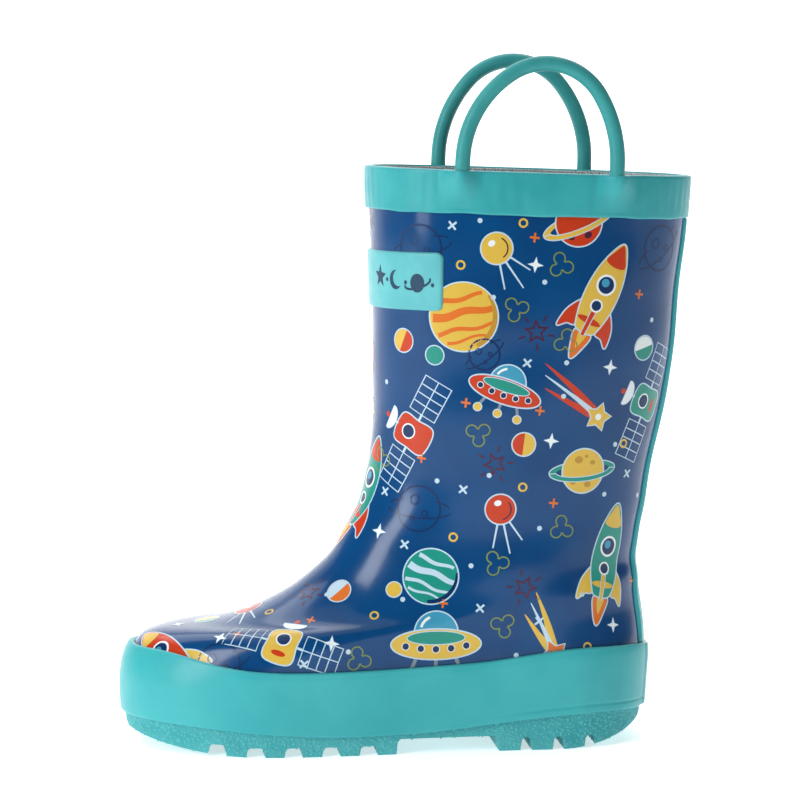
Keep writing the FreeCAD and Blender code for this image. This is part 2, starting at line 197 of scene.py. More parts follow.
def mesh_object(name: str, points: np.ndarray, faces: list, material: bpy.types.Material,
                outwards: bool = True, smooth: bool = True) -> bpy.types.Object:
    """Writes a mesh object at the origin.

    Args:
        name: the piece's name.
        points: vertices in millimetres.
        faces: vertex numbers of each face.
        material: the finish of the whole piece.
        outwards: turns a closed mesh so that its faces point outwards.
        smooth: shades the faces smoothly.

    Returns:
        The object, linked to the scene.
    """
    points = np.asarray(points, float).reshape(-1, 3)
    if outwards:
        volume = 0.0
        for face in faces:
            a = points[face[0]]
            for j in range(1, len(face) - 1):
                volume += float(np.dot(a, np.cross(points[face[j]], points[face[j + 1]])))
        if volume < 0:
            faces = [tuple(reversed(face)) for face in faces]
    mesh = bpy.data.meshes.new(name)
    mesh.from_pydata((points * MM).tolist(), [], [tuple(int(i) for i in face) for face in faces])
    mesh.polygons.foreach_set("use_smooth", [smooth] * len(mesh.polygons))
    mesh.materials.append(material)
    mesh.update()
    piece = bpy.data.objects.new(name, mesh)
    bpy.context.scene.collection.objects.link(piece)
    return piece


def loop_faces(rows: int, columns: int, close_rows: bool, close_columns: bool, first: int = 0) -> list:
    """Quads over a grid of points stored row by row.

    Args:
        rows: number of rows.
        columns: number of points in a row.
        close_rows: joins the last row to the first.
        close_columns: joins each row's last point to its first.
        first: number of the grid's first vertex.

    Returns:
        Four vertex numbers for each face.
    """
    faces = []
    for i in range(rows if close_rows else rows - 1):
        for j in range(columns if close_columns else columns - 1):
            k, m = (i + 1) % rows, (j + 1) % columns
            faces.append((first + i * columns + j, first + i * columns + m,
                          first + k * columns + m, first + k * columns + j))
    return faces


# ------------------------------------------------------------------------------------------- body surface
@dataclass(frozen=True)
class BootSizes:
    """The boot's own sizes, the same as in its solid model."""

    overall_length: float = 206.0
    rim_height: float = 206.0
    rim_drop: float = 3.8
    rim_length: float = 115.1
    rim_half_width: float = 36.6
    rim_overhang: float = 16.5
    ankle_height: float = 89.0
    ankle_length: float = 98.0
    ankle_half_width: float = 31.4
    ball_half_width: float = 36.6
    waist_half_width: float = 30.2
    heel_half_width: float = 30.2
    foot_sway: float = 4.5
    foxing_thickness: float = 2.2
    foxing_height: float = 23.0
    upper_thickness: float = 2.0
    lining_thickness: float = 1.4
    collar_thickness: float = 1.3
    collar_height: float = 15.0
    stay_thickness: float = 1.0
    label_thickness: float = 1.0
    label_bottom: float = 156.0
    label_height: float = 20.5
    label_reach: float = 22.7
    filler_thickness: float = 3.0
    board_thickness: float = 1.5
    footbed_clearance: float = 0.4
    cord_radius: float = 2.65
    handle_setback: float = 29.3
    handle_span: float = 54.3
    handle_crown_radius: float = 22.0
    handle_seat: float = 1.8
    bend_height: float = 3.4
    anchor_depth: float = 10.5

    @property
    def toe_x(self) -> float:
        """Front of the upper at the sole."""
        return -self.overall_length / 2 + self.foxing_thickness

    @property
    def rim_back_x(self) -> float:
        """Back of the rim."""
        return self.overall_length / 2 - self.collar_thickness

    @property
    def rim_front_x(self) -> float:
        """Front of the rim."""
        return self.rim_back_x - self.rim_length

    @property
    def rim_back_z(self) -> float:
        """Height of the rim at its back."""
        return self.rim_height - self.rim_drop

    @property
    def heel_x(self) -> float:
        """Back of the upper at the sole."""
        return self.rim_back_x - self.rim_overhang

    @property
    def leg_x(self) -> float:
        """Front of the ankle."""
        return self.heel_x - self.ankle_length

    @property
    def foot_length(self) -> float:
        """Length of the upper at the sole."""
        return self.heel_x - self.toe_x


class BodySurface:
    """Smooth outer face of the upper, from under the sole to above the rim.

    turn goes once round: 0 is the front, 0.25 the outer side, 0.5 the back. level goes from 0 under the sole
    to 1 above the rim.
    """

    def __init__(self, sizes: BootSizes) -> None:
        """Tabulates the rails that every station is read from.

        Args:
            sizes: the boot's sizes.
        """
        self.sizes = s = sizes
        toe, heel, leg = s.toe_x, s.heel_x, s.leg_x
        # Each row is a station, from under the toe up to the ankle: front x and z, back x and z, half-width of
        # the leg, length of the round front and back, squareness, share taken from the foot's width, sway.
        rows = [
            (toe + 5.0, -5.0, heel - 3.4, -5.0, 34.0, 46.0, 34.0, 0.10, 1.0, 1.0),
            (toe + 1.2, 6.0, heel - 1.0, 7.5, 34.0, 48.0, 35.0, 0.12, 1.0, 1.0),
            (toe, 19.0, heel, 21.0, 34.0, 50.0, 36.0, 0.12, 1.0, 1.0),
            (toe + 1.2, 30.5, heel + 0.8, 33.0, 34.0, 55.0, 37.0, 0.09, 1.0, 0.93),
            (toe + 4.6, 37.2, heel + 0.5, 39.5, 33.8, 66.0, 38.0, 0.03, 1.0, 0.84),
            (toe + 11.8, 41.0, heel - 0.3, 45.5, 33.2, 80.0, 39.0, 0.00, 0.92, 0.71),
            (toe + 25.0, 42.6, heel - 1.2, 51.5, 32.6, 92.0, 40.0, 0.00, 0.78, 0.53),
            (toe + 42.5, 46.8, heel - 2.0, 58.0, 32.0, 92.0, 41.0, 0.00, 0.55, 0.36),
            (leg - 28.7, 55.4, heel - 2.4, 64.5, 31.6, 82.0, 43.0, 0.00, 0.30, 0.18),
            (leg - 17.4, 64.2, heel - 2.0, 71.0, 31.4, 71.0, 45.0, 0.02, 0.14, 0.07),
            (leg - 9.2, 75.5, heel - 0.7, 79.5, self.leg_width(0.0), 61.0, 47.0, 0.04, 0.05, 0.0),
        ]
        # Each row is a station of the leg: share of its height, front and back past the ankle's, share of the
        # widening, length of the round front and back, squareness.
        for share, front, back, width, nose, tail, square in (
            (0.0, -3.2, 1.1, 0.08, 54.0, 50.0, 0.06),
            (0.14, -0.1, 4.3, 0.25, 50.0, 52.0, 0.08),
            (0.3, 1.2, 8.1, 0.48, 49.0, 54.0, 0.10),
            (0.52, 0.8, 11.2, 0.73, 48.0, 55.0, 0.12),
            (0.79, 0.2, 14.2, 0.92, 48.0, 56.0, 0.15),
        ):
            front_z = s.ankle_height + share * (s.rim_height - s.ankle_height)
            back_z = s.ankle_height + 2 + share * (s.rim_back_z - s.ankle_height - 2)
            rows.append((leg + front, front_z, heel + back, back_z, self.leg_width(width), nose, tail,
                         square, 0, 0))
        for lift, forward, back in ((0.0, 0.0, 0.0), (14.0, -0.4, 0.8)):
            rows.append((s.rim_front_x + forward, s.rim_height + lift, s.rim_back_x + back,
                         s.rim_back_z + lift,
                         s.rim_half_width, RIM_NOSE, RIM_TAIL, RIM_SQUARE, 0, 0))
        table = np.array(rows, float)
        front = np.hypot(np.diff(table[:, 0]), np.diff(table[:, 1]))
        back = np.hypot(np.diff(table[:, 2]), np.diff(table[:, 3]))
        knots = np.concatenate([[0.0], np.cumsum((front + back) / 2)])
        knots /= knots[-1]
        self.places = np.linspace(0, 1, RAIL_PLACES)
        self.rails = [natural_spline(knots, table[:, i], self.places) for i in range(table.shape[1])]
        # Place along the sole, half-width and sway of the foot.
        foot = np.array([
            (0.0, s.ball_half_width - 3.6, 1.0), (0.139, s.ball_half_width - 1.2, 0.8),
            (0.257, s.ball_half_width, 0.3), (0.461, (s.ball_half_width + s.waist_half_width) / 2, -0.25),
            (0.65, s.waist_half_width, -0.35), (0.822, s.heel_half_width + 0.2, -0.1),
            (1.015, s.heel_half_width - 0.2, 0.0),
        ])
        self.foot_x = s.toe_x + np.linspace(-0.1, 1.2, 1301) * s.foot_length
        along = s.toe_x + foot[:, 0] * s.foot_length
        self.foot_width = natural_spline(along, foot[:, 1], self.foot_x)
        self.foot_sway = natural_spline(along, foot[:, 2], self.foot_x)
        # Place along the sole, height of the foxing's underside and its extra height.
        lines = np.array([
            (-0.13, 12.2, 0.4), (0.004, 11.4, 0.8), (0.09, 10.7, 0.9), (0.219, 8.9, -1.0),
            (0.321, 7.6, -0.9),
            (0.418, 6.9, 0.0), (0.51, 7.2, 0.0), (0.606, 8.2, 0.0), (0.682, 9.7, -0.1), (0.784, 11.6, 0.2),
            (0.897, 12.8, 0.1), (0.999, 12.0, -1.0), (1.133, 11.0, -2.5),
        ])
        self.line_x = s.toe_x + np.linspace(-0.12, 1.12, 1241) * s.foot_length
        along = s.toe_x + lines[:, 0] * s.foot_length
        self.line_seat = natural_spline(along, lines[:, 1], self.line_x)
        self.line_more = natural_spline(along, lines[:, 2], self.line_x)
        self.chart_turn, self.chart_level = np.meshgrid(np.linspace(0.004, 0.496, 247),
                                                        np.linspace(0.05, 0.97, 461))
        self.chart = self.plain(self.chart_turn, self.chart_level)

    def leg_width(self, share: float) -> float:
        """Half-width of the leg, from the ankle (0) to the rim (1)."""
        s = self.sizes
        return s.ankle_half_width + share * (s.rim_half_width - s.ankle_half_width)

    def plain(self, turn: np.ndarray, level: np.ndarray) -> np.ndarray:
        """Point on the even surface, without the hand-made unevenness.

        Args:
            turn: places round the boot.
            level: places from under the sole to above the rim.

        Returns:
            One point for each pair.
        """
        rails = [np.interp(level, self.places, rail) for rail in self.rails]
        fx, fz, bx, bz, leg, nose, tail, square, footlike, sway = rails
        share = (1 - np.cos(2 * np.pi * turn)) / 2
        x, z = fx + (bx - fx) * share, fz + (bz - fz) * share
        run = np.hypot(bx - fx, bz - fz)
        width = leg + footlike * (np.interp(x, self.foot_x, self.foot_width) - leg)

        half = width * end_rounding(run * share, nose, square) * end_rounding(run * (1 - share), tail,
                                                                              square)
        side = np.where(np.sin(2 * np.pi * turn) >= 0, -1.0, 1.0)
        y = side * half + sway * self.sizes.foot_sway * np.interp(x, self.foot_x, self.foot_sway)
        return np.stack([x, y, z], axis=-1)

    def normal(self, turn: np.ndarray, level: np.ndarray) -> np.ndarray:
        """Outward direction at each point.

        Args:
            turn: places round the boot.
            level: places from under the sole to above the rim.

        Returns:
            One unit vector for each pair.
        """
        turn, level = np.broadcast_arrays(np.asarray(turn, float), np.asarray(level, float))
        step = 0.0015
        low, high = np.clip(level - step, 0, 1), np.clip(level + step, 0, 1)
        along = self.plain(turn, high) - self.plain(turn, low)
        around = self.plain(turn + step, level) - self.plain(turn - step, level)
        normal = np.cross(around, along)
        return normal / np.linalg.norm(normal, axis=-1, keepdims=True)

    def ripple(self, turn: np.ndarray, level: np.ndarray) -> np.ndarray:
        """Gentle unevenness that a hand-laid rubber leg keeps.

        Args:
            turn: places round the boot.
            level: places from under the sole to above the rim.

        Returns:
            One rise for each pair.
        """
        angle = 2 * np.pi * turn
        wave = 0.16 * np.sin(2 * angle + 31 * level) + 0.12 * np.sin(3 * angle - 47 * level + 1.3)
        crease = 0.30 * np.sin(90 * level + 0.6 * np.sin(angle)) * np.exp(-(((level - 0.43) / 0.07) ** 2))
        front = np.exp(-(((np.mod(turn + 0.5, 1.0) - 0.5) / 0.11) ** 2))
        heel = 0.22 * np.sin(70 * level + 2 * angle) * np.exp(-(((level - 0.38) / 0.08) ** 2))
        back = np.exp(-(((turn - 0.45) / 0.07) ** 2))
        return (wave + crease * front + heel * back) * smooth_step(level, 0.10, 0.22)

    def at(self, turn: np.ndarray, level: np.ndarray, offset: np.ndarray | float = 0.0) -> np.ndarray:
        """Point on the surface moved outwards by offset.

        Args:
            turn: places round the boot.
            level: places from under the sole to above the rim.
            offset: distance outwards.

        Returns:
            One point for each pair.
        """
        turn, level = np.broadcast_arrays(np.asarray(turn, float), np.asarray(level, float))
        rise = np.broadcast_to(np.asarray(offset, float), turn.shape) + self.ripple(turn, level)
        return self.plain(turn, level) + self.normal(turn, level) * rise[..., None]

    def seat_z(self, x: np.ndarray) -> np.ndarray:
        """Height of the foxing's underside."""
        return np.interp(x, self.line_x, self.line_seat)

    def foxing_z(self, x: np.ndarray) -> np.ndarray:
        """Height of the foxing's top edge."""
        return self.seat_z(x) + self.sizes.foxing_height + np.interp(x, self.line_x, self.line_more)

    def above_seat(self, points: np.ndarray) -> np.ndarray:
        """Height above the foxing's underside."""
        return points[..., 2] - self.seat_z(points[..., 0])

    def above_foxing(self, points: np.ndarray) -> np.ndarray:
        """Height above the foxing's top edge."""
        return points[..., 2] - self.foxing_z(points[..., 0])

    def height(self, points: np.ndarray) -> np.ndarray:
        """Height above the ground."""
        return points[..., 2]

    def above_rim(self, points: np.ndarray) -> np.ndarray:
        """Distance above the rim's plane.

        Args:
            points: places in millimetres.

        Returns:
            One distance for each place.
        """
        s = self.sizes
        slope = s.rim_drop / s.rim_length
        return (points[..., 2] - s.rim_height + slope * (points[..., 0] - s.rim_front_x)) / math.hypot(1,
                                                                                                       slope)

    def level_where(self, turn: np.ndarray, measure: Callable,
                    target: float | np.ndarray = 0.0) -> np.ndarray:
        """Finds the level at which a rising measure reaches a target.

        Args:
            turn: places round the boot.
            measure: function of points that rises with level.
            target: the value to reach.

        Returns:
            One level for each turn.
        """
        low, high = np.zeros_like(turn), np.ones_like(turn)
        for _ in range(HALVINGS):
            middle = (low + high) / 2
            under = measure(self.plain(turn, middle)) < target
            low, high = np.where(under, middle, low), np.where(under, high, middle)
        return (low + high) / 2

    def place(self, x: float, z: float, side: int) -> tuple[float, float]:
        """Finds the turn and level of a place named by its side view.

        Args:
            x: place along the boot.
            z: height.
            side: -1 for the outer side, 1 for the inner side.

        Returns:
            The turn and the level.
        """
        best = int(np.argmin((self.chart[..., 0] - x) ** 2 + (self.chart[..., 2] - z) ** 2))
        turn, level = self.chart_turn.flat[best], self.chart_level.flat[best]
        return (float(turn) if side < 0 else 1 - float(turn)), float(level)

    def walk(self, turn: float, level: float, heading: float, flat: np.ndarray) -> tuple[np.ndarray,
                                                                                         np.ndarray]:
        """Lays flat artwork on the surface without stretching it.

        Every point is reached by a straight walk over the surface from the artwork's centre.

        Args:
            turn: the centre's place round the boot.
            level: the centre's level.
            heading: how far the artwork is turned, in degrees.
            flat: points of the artwork in millimetres.

        Returns:
            The turn and the level of every point.
        """
        count = len(flat)
        turns, levels = np.full(count, turn), np.full(count, level)
        normal = self.normal(turns[:1], levels[:1])[0]
        up = np.array([0.12, 0.0, 1.0])  # upright artwork leans a little towards the heel
        up = up - normal * up.dot(normal)
        up /= np.linalg.norm(up)
        right = np.cross(up, normal)
        angle = math.radians(heading)
        axis_x = right * math.cos(angle) + up * math.sin(angle)
        axis_y = up * math.cos(angle) - right * math.sin(angle)
        away = flat[:, :1] * axis_x + flat[:, 1:] * axis_y
        distance = np.linalg.norm(away, axis=1)
        direction = away / np.maximum(distance, 1e-9)[:, None]
        steps, probe = 14, 1e-4
        here = self.plain(turns, levels)
        for _ in range(steps):
            target = here + direction * (distance / steps)[:, None]
            for _ in range(2):
                around = (self.plain(turns + probe, levels) - self.plain(turns - probe,
                                                                         levels)) / (2 * probe)
                along = (self.plain(turns, levels + probe) - self.plain(turns, levels - probe)) / (2 * probe)
                miss = target - self.plain(turns, levels)
                aa, ab, bb = (np.einsum("ij,ij->i", p, q) for p, q in
                              ((around, around), (around, along), (along, along)))
                ra, rb = np.einsum("ij,ij->i", around, miss), np.einsum("ij,ij->i", along, miss)
                det = np.maximum(aa * bb - ab * ab, 1e-6)
                turns = turns + (ra * bb - rb * ab) / det
                levels = np.clip(levels + (rb * aa - ra * ab) / det, 0.001, 0.999)
            here = self.plain(turns, levels)
            normals = self.normal(turns, levels)
            direction = direction - normals * np.einsum("ij,ij->i", normals, direction)[:, None]
            direction /= np.maximum(np.linalg.norm(direction, axis=1), 1e-9)[:, None]
        return turns, levels


# ------------------------------------------------------------------------------------------- finishes
@dataclass(frozen=True)
class RubberFinish:
    """Moulded rubber: a slightly uneven colour, soft gloss, fine grain and a painted highlight on convex
    edges.
    """

    name: str
    colour: str
    shade: str
    roughness: float = 0.38
    coat: float = 0.15
    coat_roughness: float = 0.2
    patch: float = 18.0
    grain: float = 0.9
    grain_height: float = 0.03
    swell: float = 14.0
    swell_height: float = 0.10
    painted_edge_highlight: float = 0.25
    pebble: float = 0.0
    specular: float = 0.24

    def build(self) -> bpy.types.Material:
        """Builds the material.

        Returns:
            The material.
        """
        material, tree, shader = new_material(self.name)
        place = add_node(tree, "ShaderNodeTexCoord")
        patches = add_node(tree, "ShaderNodeTexNoise",
                           {"Vector": (place, "Object"), "Scale": 1 / (self.patch * MM),
                                                        "Detail": 3.0, "Roughness": 0.55})
        span = add_node(tree, "ShaderNodeMapRange",
                        {"Value": (patches, "Fac"), "From Min": 0.35, "From Max": 0.7})
        # Inputs 6 and 7 are the node's two colours.
        tone = add_node(tree, "ShaderNodeMix", {"Factor": (span, "Result"), 6: linear(self.colour),
                                                7: linear(self.shade)}, data_type="RGBA")
        edge = add_node(tree, "ShaderNodeNewGeometry")
        # Painted highlight: convex edges, found by pointiness, turn paler and less saturated in the colour.
        edge_highlight_mask = add_node(tree, "ShaderNodeMapRange", {"Value": (edge, "Pointiness"), "From Min": 0.51,
                                                       "From Max": 0.60, "To Max": self.painted_edge_highlight})
        edge_highlit_colour = add_node(tree, "ShaderNodeHueSaturation", {"Saturation": 0.86, "Value": 1.35,
                                                          "Fac": (edge_highlight_mask, "Result"), "Color": (tone, 2)})
        smear = add_node(tree, "ShaderNodeTexNoise",
                         {"Vector": (place, "Object"), "Scale": 1 / (self.patch * 0.4 * MM),
                                                      "Detail": 4.0})
        gloss = add_node(tree, "ShaderNodeMapRange",
                         {"Value": (smear, "Fac"), "From Min": 0.3, "From Max": 0.75,
                                                      "To Min": self.roughness * 0.85,
                                                      "To Max": min(1.0, self.roughness * 1.25)})
        under = {}
        for size, height, detail in ((self.grain, self.grain_height, 2.0),
                                     (self.swell, self.swell_height, 1.0)):
            rough = add_node(tree, "ShaderNodeTexNoise",
                             {"Vector": (place, "Object"), "Scale": 1 / (size * MM),
                                                          "Detail": detail})
            bump = add_node(tree, "ShaderNodeBump", {"Height": (rough, "Fac"), "Distance": height * MM,
                                                     "Strength": 1.0, **under})
            under = {"Normal": (bump, "Normal")}
        if self.pebble:
            cells = add_node(tree, "ShaderNodeTexVoronoi", {"Vector": (place, "Object"),
                                                            "Scale": 1 / (self.pebble * MM)})
            bump = add_node(tree, "ShaderNodeBump", {"Height": (cells, "Distance"), "Distance": -0.18 * MM,
                                                     "Strength": 1.0, **under})
        set_inputs(tree, shader, {
            "Base Color": (edge_highlit_colour, "Color"), "Roughness": (gloss, "Result"), "Normal": (bump, "Normal"),
            "Coat Weight": self.coat, "Coat Roughness": self.coat_roughness,
            "Specular IOR Level": self.specular, "IOR": 1.5})
        return material


@dataclass(frozen=True)
class KnitFinish:
    """Jersey knit in heathered yarn, its columns of stitches laid along the UV map in millimetres."""

    name: str
    yarn: str
    pale: str
    dark: str
    wale: float = 1.1
    course: float = 0.85

    def build(self) -> bpy.types.Material:
        """Builds the material.

        Returns:
            The material.
        """
        material, tree, shader = new_material(self.name)
        place = add_node(tree, "ShaderNodeUVMap", uv_map="cloth")
        heights = []
        # A wave texture of scale 1 repeats every 2 pi / 20 metres.
        for turn, pitch in ((0.0, self.wale), (math.pi / 2, self.course)):
            turned = add_node(tree, "ShaderNodeMapping",
                              {"Vector": (place, "UV"), "Rotation": (0.0, 0.0, turn)})
            heights.append(add_node(tree, "ShaderNodeTexWave", {
                "Vector": (turned, "Vector"), "Scale": 1 / (pitch * MM) / 20 * math.pi * 2,
                "Distortion": 0.6,
                "Detail": 1.0, "Detail Scale": 1.0}))
        stitches = add_node(tree, "ShaderNodeMath", {0: (heights[0], "Fac"), 1: (heights[1], "Fac")},
                            operation="MULTIPLY")
        fibre = add_node(tree, "ShaderNodeTexNoise", {"Vector": (place, "UV"), "Scale": 1 / (0.55 * MM),
                                                      "Detail": 4.0, "Roughness": 0.7})
        heather = add_node(tree, "ShaderNodeValToRGB", {"Fac": (fibre, "Fac")})
        ramp = heather.color_ramp
        ramp.elements[0].position, ramp.elements[0].color = 0.36, linear(self.dark)
        ramp.elements[1].position, ramp.elements[1].color = 0.64, linear(self.pale)
        ramp.elements.new(0.48).color = linear(self.yarn)
        # Painted shade: the colour darkens to 0.72 of its value in the hollows between the stitches.
        hollow = add_node(tree, "ShaderNodeMapRange",
                          {"Value": (stitches, "Value"), "To Min": 0.72, "To Max": 1.0})
        colour = add_node(tree, "ShaderNodeHueSaturation",
                          {"Value": (hollow, "Result"), "Color": (heather, "Color")})
        bump = add_node(tree, "ShaderNodeBump", {"Height": (stitches, "Value"), "Distance": 0.30 * MM,
                                                 "Strength": 1.0})
        bump = add_node(tree, "ShaderNodeBump", {"Height": (fibre, "Fac"), "Distance": 0.15 * MM,
                                                 "Strength": 1.0, "Normal": (bump, "Normal")})
        set_inputs(tree, shader, {"Base Color": (colour, "Color"), "Normal": (bump, "Normal"),
                                  "Roughness": 0.92,
                                  "Sheen Weight": 0.35, "Sheen Roughness": 0.5})
        return material


class Ink(Enum):
    """Colours of the print; GROUND lets the upper's blue show through."""

    GROUND = ""
    PALE = "#BBD6E6"
    WHITE = "#E6EEF0"
    YELLOW = "#D9B54A"
    OCHRE = "#B98D33"
    RED = "#C23A18"
    ORANGE = "#D8702A"
    TEAL = "#1F8F80"
    SKY = "#3F97B8"
    NAVY = "#0B2E5C"
    MAROON = "#4A2038"
    OLIVE = "#76894A"
    GREY = "#7C8C97"


class Mark(Enum):
    """Small signs between the drawings."""

    CROSS = "cross"
    PLUS = "plus"
    RING = "ring"
    DOT = "dot"


# ------------------------------------------------------------------------------------------- print artwork
def oval(x: float, y: float, wide: float, high: float, turn: float = 0.0, count: int = 40,
         first: float = 0.0, last: float = 360.0) -> np.ndarray:
    """Points of an ellipse or of a part of it.

    Args:
        x: centre across.
        y: centre up.
        wide: half-width.
        high: half-height.
        turn: degrees that the ellipse is turned.
        count: number of points.
        first: degrees where a part starts.
        last: degrees where it ends.

    Returns:
        One row for each point.
    """
    whole = abs(last - first) >= 360
    angle = np.radians(np.linspace(first, last, count, endpoint=not whole))
    flat = np.stack([wide * np.cos(angle), high * np.sin(angle)], axis=1)
    c, s = math.cos(math.radians(turn)), math.sin(math.radians(turn))
    return flat @ np.array([[c, s], [-s, c]]) + (x, y)


def disc(x: float, y: float, radius: float, turn: float = 0.0, count: int = 40,
         first: float = 0.0, last: float = 360.0) -> np.ndarray:
    """Points of a circle or of a part of it, with the arguments of oval."""
    return oval(x, y, radius, radius, turn, count, first, last)


def burst(x: float, y: float, tips: int, far: float, near: float, turn: float = 90.0) -> np.ndarray:
    """Points of a star with slightly hollow sides.

    Args:
        x: centre across.
        y: centre up.
        tips: number of tips.
        far: reach of a tip.
        near: reach of a hollow.
        turn: degrees that the first tip is turned.

    Returns:
        One row for each point.
    """
    points = []
    for i in range(tips * 2):
        angle = math.radians(turn + 180 * i / tips)
        reach = far if i % 2 == 0 else near
        points.append((x + reach * math.cos(angle), y + reach * math.sin(angle)))
    return np.array(points)


def curve_through(points: list, count: int = 8, closed: bool = True) -> np.ndarray:
    """Smooth curve through given points.

    Args:
        points: the places that the curve passes.
        count: steps between two places.
        closed: joins the last place to the first.

    Returns:
        One row for each point of the curve.
    """
    p, n, out = np.array(points, float), len(points), []
    for i in range(n if closed else n - 1):
        if closed:
            a, b, c, d = p[i - 1], p[i], p[(i + 1) % n], p[(i + 2) % n]
        else:
            a, b, c, d = p[max(i - 1, 0)], p[i], p[i + 1], p[min(i + 2, n - 1)]
        for t in np.arange(count) / count:
            out.append(0.5 * (2 * b + (c - a) * t + (2 * a - 5 * b + 4 * c - d) * t**2
                              + (3 * b - a - 3 * c + d) * t**3))
    if not closed:
        out.append(p[-1])
    return np.array(out)


def stroke(points: np.ndarray, width: float, tip: float | None = None) -> np.ndarray:
    """Outline of a brush line that may taper to a tip.

    Args:
        points: the line.
        width: the line's width at its start.
        tip: its width at its end, or None for the same.

    Returns:
        The outline's points.
    """
    line = np.asarray(points, float)
    slope = np.gradient(line, axis=0)
    slope /= np.maximum(np.linalg.norm(slope, axis=1, keepdims=True), 1e-9)
    across = np.stack([-slope[:, 1], slope[:, 0]], axis=1)
    half = np.linspace(width, width if tip is None else tip, len(line))[:, None] / 2
    return np.concatenate([line + across * half, (line - across * half)[::-1]])


def grown(outline: np.ndarray, amount: float) -> np.ndarray:
    """Outline moved outwards by an even amount.

    Args:
        outline: its points.
        amount: how far it moves.

    Returns:
        The moved outline.
    """
    ahead, behind = np.roll(outline, -1, axis=0), np.roll(outline, 1, axis=0)
    area = np.sum(outline[:, 0] * ahead[:, 1] - ahead[:, 0] * outline[:, 1])
    slope = ahead - behind
    slope /= np.maximum(np.linalg.norm(slope, axis=1, keepdims=True), 1e-9)
    across = np.stack([slope[:, 1], -slope[:, 0]], axis=1) * (1 if area > 0 else -1)
    return outline + across * amount


@dataclass
class Artwork:
    """Flat drawing in millimetres, painted in order."""

    layers: list = field(default_factory=list)

    def paint(self, ink: Ink, outline: np.ndarray, edge: Ink | None = None, rim: float = 0.5) -> "Artwork":
        """Adds a filled shape.

        Args:
            ink: its colour.
            outline: its points.
            edge: colour of a line round it, or None.
            rim: width of that line.

        Returns:
            The artwork itself.
        """
        if edge is not None:
            self.layers.append((edge, grown(outline, rim)))
        self.layers.append((ink, outline))
        return self

    def triangles(self, grid: float = 1.3) -> tuple[np.ndarray, np.ndarray, list]:
        """Cuts the painted areas into triangles small enough to lie on a curved boot.

        Args:
            grid: spacing of the extra points.

        Returns:
            The points, the triangles and the ink of each triangle.
        """
        points, faces = [], []
        for _, outline in self.layers:
            kept = [outline[0]]
            for p in np.concatenate([outline[1:], outline[:1]]):
                reach = np.hypot(*(p - kept[-1]))
                if reach > LEAST_EDGE:
                    steps = max(1, math.ceil(reach / grid))
                    kept.extend(kept[-1] + (p - kept[-1]) * np.arange(1, steps + 1)[:, None] / steps)
            if np.hypot(*(kept[-1] - kept[0])) <= LEAST_EDGE:
                kept.pop()
            ring = np.array(kept)
            ahead = np.roll(ring, -1, axis=0)
            if np.sum(ring[:, 0] * ahead[:, 1] - ahead[:, 0] * ring[:, 1]) < 0:
                kept.reverse()
            faces.append(list(range(len(points), len(points) + len(kept))))
            points.extend(kept)
        every = np.array(points)
        low, high = every.min(axis=0), every.max(axis=0)
        xs, ys = np.arange(low[0] + grid / 2, high[0], grid), np.arange(low[1] + grid / 2, high[1], grid)
        stagger = 0.31 * grid
        points.extend((x + stagger * (j % 2), y) for j, y in enumerate(ys) for x in xs)
        flat, _, cut, _, _, sources = geometry.delaunay_2d_cdt(
            [Vector((float(p[0]), float(p[1]))) for p in points], [], faces, 0, 1e-4)
        inks, kept = [], []
        for face, source in zip(cut, sources):
            if source and self.layers[max(source)][0] is not Ink.GROUND:
                kept.append(list(face))
                inks.append(self.layers[max(source)][0])
        return np.array([(p.x, p.y) for p in flat]), kept, inks


def rocket(body: Ink, trim: Ink) -> Artwork:
    """Rocket standing on its fins, about 44 mm high.

    Args:
        body: colour of the hull.
        trim: colour of the nose and the fins.

    Returns:
        The drawing.
    """
    art = Artwork()
    art.paint(Ink.ORANGE, curve_through([(-3.0, -13), (-2.2, -18.5), (0, -23), (2.2, -18.5), (3.0, -13)]),
              Ink.PALE)
    art.paint(Ink.YELLOW, curve_through([(-1.5, -13), (-1.0, -16.5), (0, -19), (1.0, -16.5), (1.5, -13)]))
    for side in (-1, 1):
        fin = curve_through([(side * 4.4, -2), (side * 9.0, -7.5), (side * 10.0, -14.5), (side * 7.2, -12.4),
                             (side * 4.0, -11.0)])
        art.paint(trim, fin, Ink.PALE)
    hull = curve_through([(0, 21), (3.6, 15.5), (5.8, 7), (6.0, -2), (4.4, -10), (2.6, -12.6), (-2.6, -12.6),
                          (-4.4, -10), (-6.0, -2), (-5.8, 7), (-3.6, 15.5)])
    art.paint(body, hull, Ink.PALE)
    art.paint(trim, curve_through([(0, 20.6), (2.2, 17.4), (3.9, 13.4), (0, 12.2), (-3.9, 13.4),
                                   (-2.2, 17.4)]))
    art.paint(trim, oval(0, -8.4, 4.7, 1.2))
    art.paint(Ink.NAVY, disc(0, 5.4, 3.0), Ink.WHITE, 0.8).paint(Ink.SKY, disc(-0.6, 6.0, 1.5))
    art.paint(Ink.NAVY, disc(0, -2.6, 1.8), Ink.WHITE, 0.6)
    return art.paint(trim, stroke(np.array([(0, -5), (0, -9), (0, -14)]), 1.7, 1.2), Ink.PALE, 0.3)


